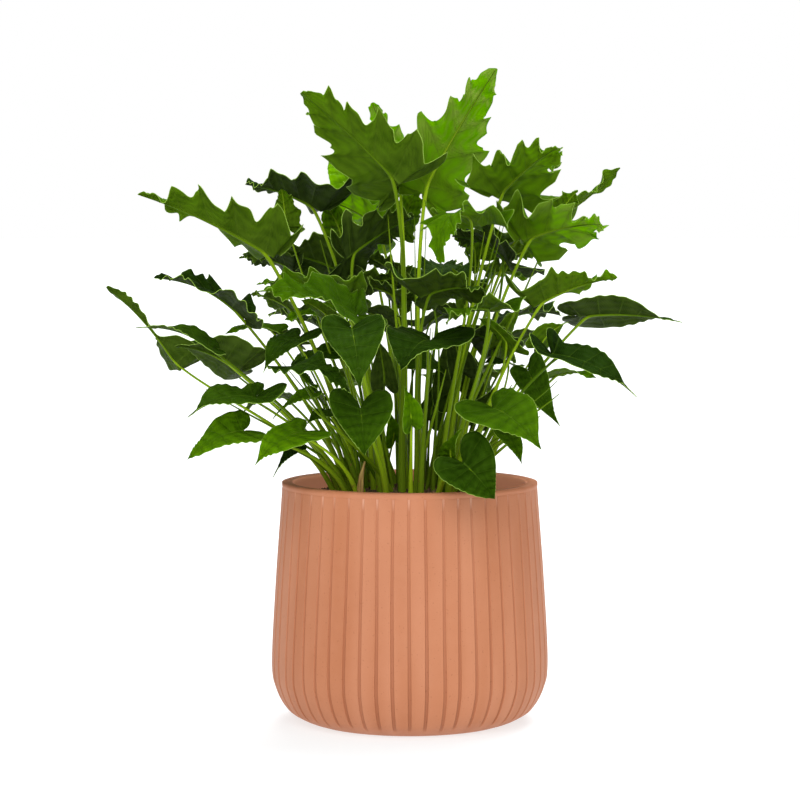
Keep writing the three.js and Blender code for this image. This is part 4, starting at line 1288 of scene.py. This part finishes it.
LARGE_ROWS = [
    ["notched", "dark", [-100, 85, 348], [-142, 91, 367], [0, 0.5, 0.85], 21],
    ["notched", "bright", [-8, 95, 426], [9, 101, 463], [0, 0.8, 0.6], 22],
    ["notched", "dark", [-105, 105, 389], [-154, 111, 399], [0, 0.6, 0.8], 22],
    ["notched", "dark", [-46, 60, 370], [-2, 66, 383], [0, 0.6, 0.8], 22],
    ["heart", "dark", [-64, 40, 318], [-104, 46, 306], [0, -0.5, 0.85], 20],
    ["notched", "bright", [62, 75, 399], [38, 81, 432], [0, 0.6, 0.8], 22],
    ["notched", "bright", [-109, 55, 428], [-113, 61, 461], [0, 0.8, 0.6], 19],
    ["heart", "dark", [12, 70, 338], [51, 76, 356], [0, 0.5, 0.85], 21],
    ["notched", "bright", [-60, 110, 416], [-77, 116, 452], [0, 0.8, 0.6], 22],
    ["heart", "bright", [-68, 55, 351], [-111, 61, 345], [0, -0.4, 0.9], 20],
    ["heart", "dark", [-1, 50, 313], [36, 56, 296], [0, -0.6, 0.8], 20],
    ["notched", "bright", [129, 60, 432], [149, 66, 460], [0, 0.8, 0.6], 19],
    ["heart", "dark", [-14, 75, 337], [-52, 81, 355], [0, 0.5, 0.85], 20],
    ["small", "dark", [-168, 10, 315], [-208, 16, 320], [0, -0.4, 0.9], 17],
    ["notched", "bright", [85, 70, 398], [122, 76, 409], [0, 0.7, 0.7], 17],
    ["notched", "dark", [-10, 85, 381], [-43, 91, 403], [0, 0.6, 0.8], 19],
]
INNER_LEAVES = [row + SMALL_TAIL for row in SMALL_ROWS] + [row + LARGE_TAIL for row in LARGE_ROWS]
print("inner leaves:", len(INNER_LEAVES))

# %% Inner shoots
BARE_STALKS = 44
BARE_DEPTH = 8
BARE_STEPS = 24
BARE_UPRIGHT = 0.5
BARE_HANDLES = (0.35, 0.3)
BELOW_BASE = 26
INNER_GRID = (49, 7)
INNER_SIDES = 8
TALL_FROM, TALL_FRONT = 280, 125


def bare_stalk(draw, above):
    """A cubic curve from a root near the crown to just under a leaf's base, thinner to its tip."""
    target = above.base + draw.uniform(-1, 1, 3) * [14, 14, 10] - [0, 0, BELOW_BASE]
    foot = np.array(above.root) * draw.uniform(0.3, 1.05) + draw.uniform(-7, 7, 2)
    root = np.array([*foot, SOIL_TOP - BARE_DEPTH])
    span = np.linalg.norm(target - root)
    ahead = unit(target - root)
    rise = unit(ahead + [0, 0, BARE_UPRIGHT])
    share = np.linspace(0, 1, BARE_STEPS)
    first, last = root + BARE_HANDLES[0] * span * rise, target - BARE_HANDLES[1] * span * ahead
    curve = bezier([root, first, last, target], share)
    return curve, draw.uniform(0.9, 1.6) * (1 + 0.5 * (1 - share) ** 3) * (1 - 0.75 * share**3)


def inner_shoots(finishes):
    """Small leaves and bare stalks gathered into one piece."""
    draw = np.random.default_rng(SEEDS["shoots"])
    patches = Patchwork()
    for index, row in enumerate(INNER_LEAVES):
        small = Leaf(len(LEAVES) + index, row)
        tone = draw.uniform(*TONE[small.colour])
        add_blade(patches, small, tone, *INNER_GRID)
        add_tube(patches, *stalk_curve(small), INNER_SIDES, 0.2 + 0.6 * tone, STALK)
    tall = [leaf for leaf in leaves if leaf.base[2] > TALL_FROM and leaf.base[1] < TALL_FRONT]
    for pick in draw.integers(0, len(tall), BARE_STALKS):
        add_tube(patches, *bare_stalk(draw, tall[pick]), INNER_SIDES, draw.uniform(0.1, 0.6), STALK)
    piece = patches.build("inner_shoots", finishes)
    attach(piece, "root")
    return piece


shoots = inner_shoots(leaf_finishes)
print("inner shoots:", len(shoots.data.polygons), "faces")

# %% [markdown]
# ## The dry sheath
# An old sheath has dried among the stalks at the front: a brown, papery scale, ribbed along its length. A
# cloth simulation could crumple it, but it is too small for that to show. So it is a tube along the same
# path as its solid, pressed flat and wrinkled by waves round its section.

# %% Dry sheath
HUSK_SIDES = 36
HUSK_STEPS = 40
HUSK_STRETCH = (22, 3, 1)
HUSK_DARK, HUSK_PALE = (0.12, 0.05, 0.008, 1), (0.58, 0.41, 0.12, 1)


def husk_finish():
    """Brown paper, streaked along its length by a noise stretched on the UV map."""
    husk = Recipe("dry_sheath_paper")
    fibre = husk.noise(1, 4, place=husk.stretched(husk.uv(), HUSK_STRETCH))
    body = husk.mix(fibre.rise(0.3, 0.7), HUSK_DARK, HUSK_PALE)
    return husk.finish(Base_Color=body, Roughness=0.85, Normal=husk.bump(fibre, 0.6, 0.0008))


def dry_husk(paper):
    """Rings along the path whose radius swings with the angle, so the section is a flat, crinkled loop."""
    path = np.array(HUSK_PATH, float)
    share = np.linspace(0, len(path) - 1, HUSK_STEPS)
    points = np.stack([np.interp(share, np.arange(len(path)), path[:, k]) for k in range(3)], -1)
    points[1:-1] = 0.25 * points[:-2] + 0.5 * points[1:-1] + 0.25 * points[2:]
    radii = np.interp(share, np.arange(len(path)), HUSK_RADII)
    rings = carried_ring(points, radii, HUSK_SIDES)
    angle = np.linspace(0, 2 * math.pi, HUSK_SIDES, endpoint=False)[None, :, None]
    crinkle = 0.98 + 0.2 * np.cos(2 * angle + share[:, None, None]) - 0.12 * np.abs(np.sin(4.5 * angle))
    grid = close_ends(points, points[:, None] + (rings - points[:, None]) * crinkle)
    shell = Patchwork()
    shell.add(grid, grid_faces(*grid.shape[:2], around=True), tube_uv(grid))
    return shell.build("dry_leaf_sheath", [paper])


husk = dry_husk(husk_finish())
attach(husk, "root")
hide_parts("dry_sheath")
print("dry sheath:", len(husk.data.polygons), "faces")

# %% [markdown] ## The end
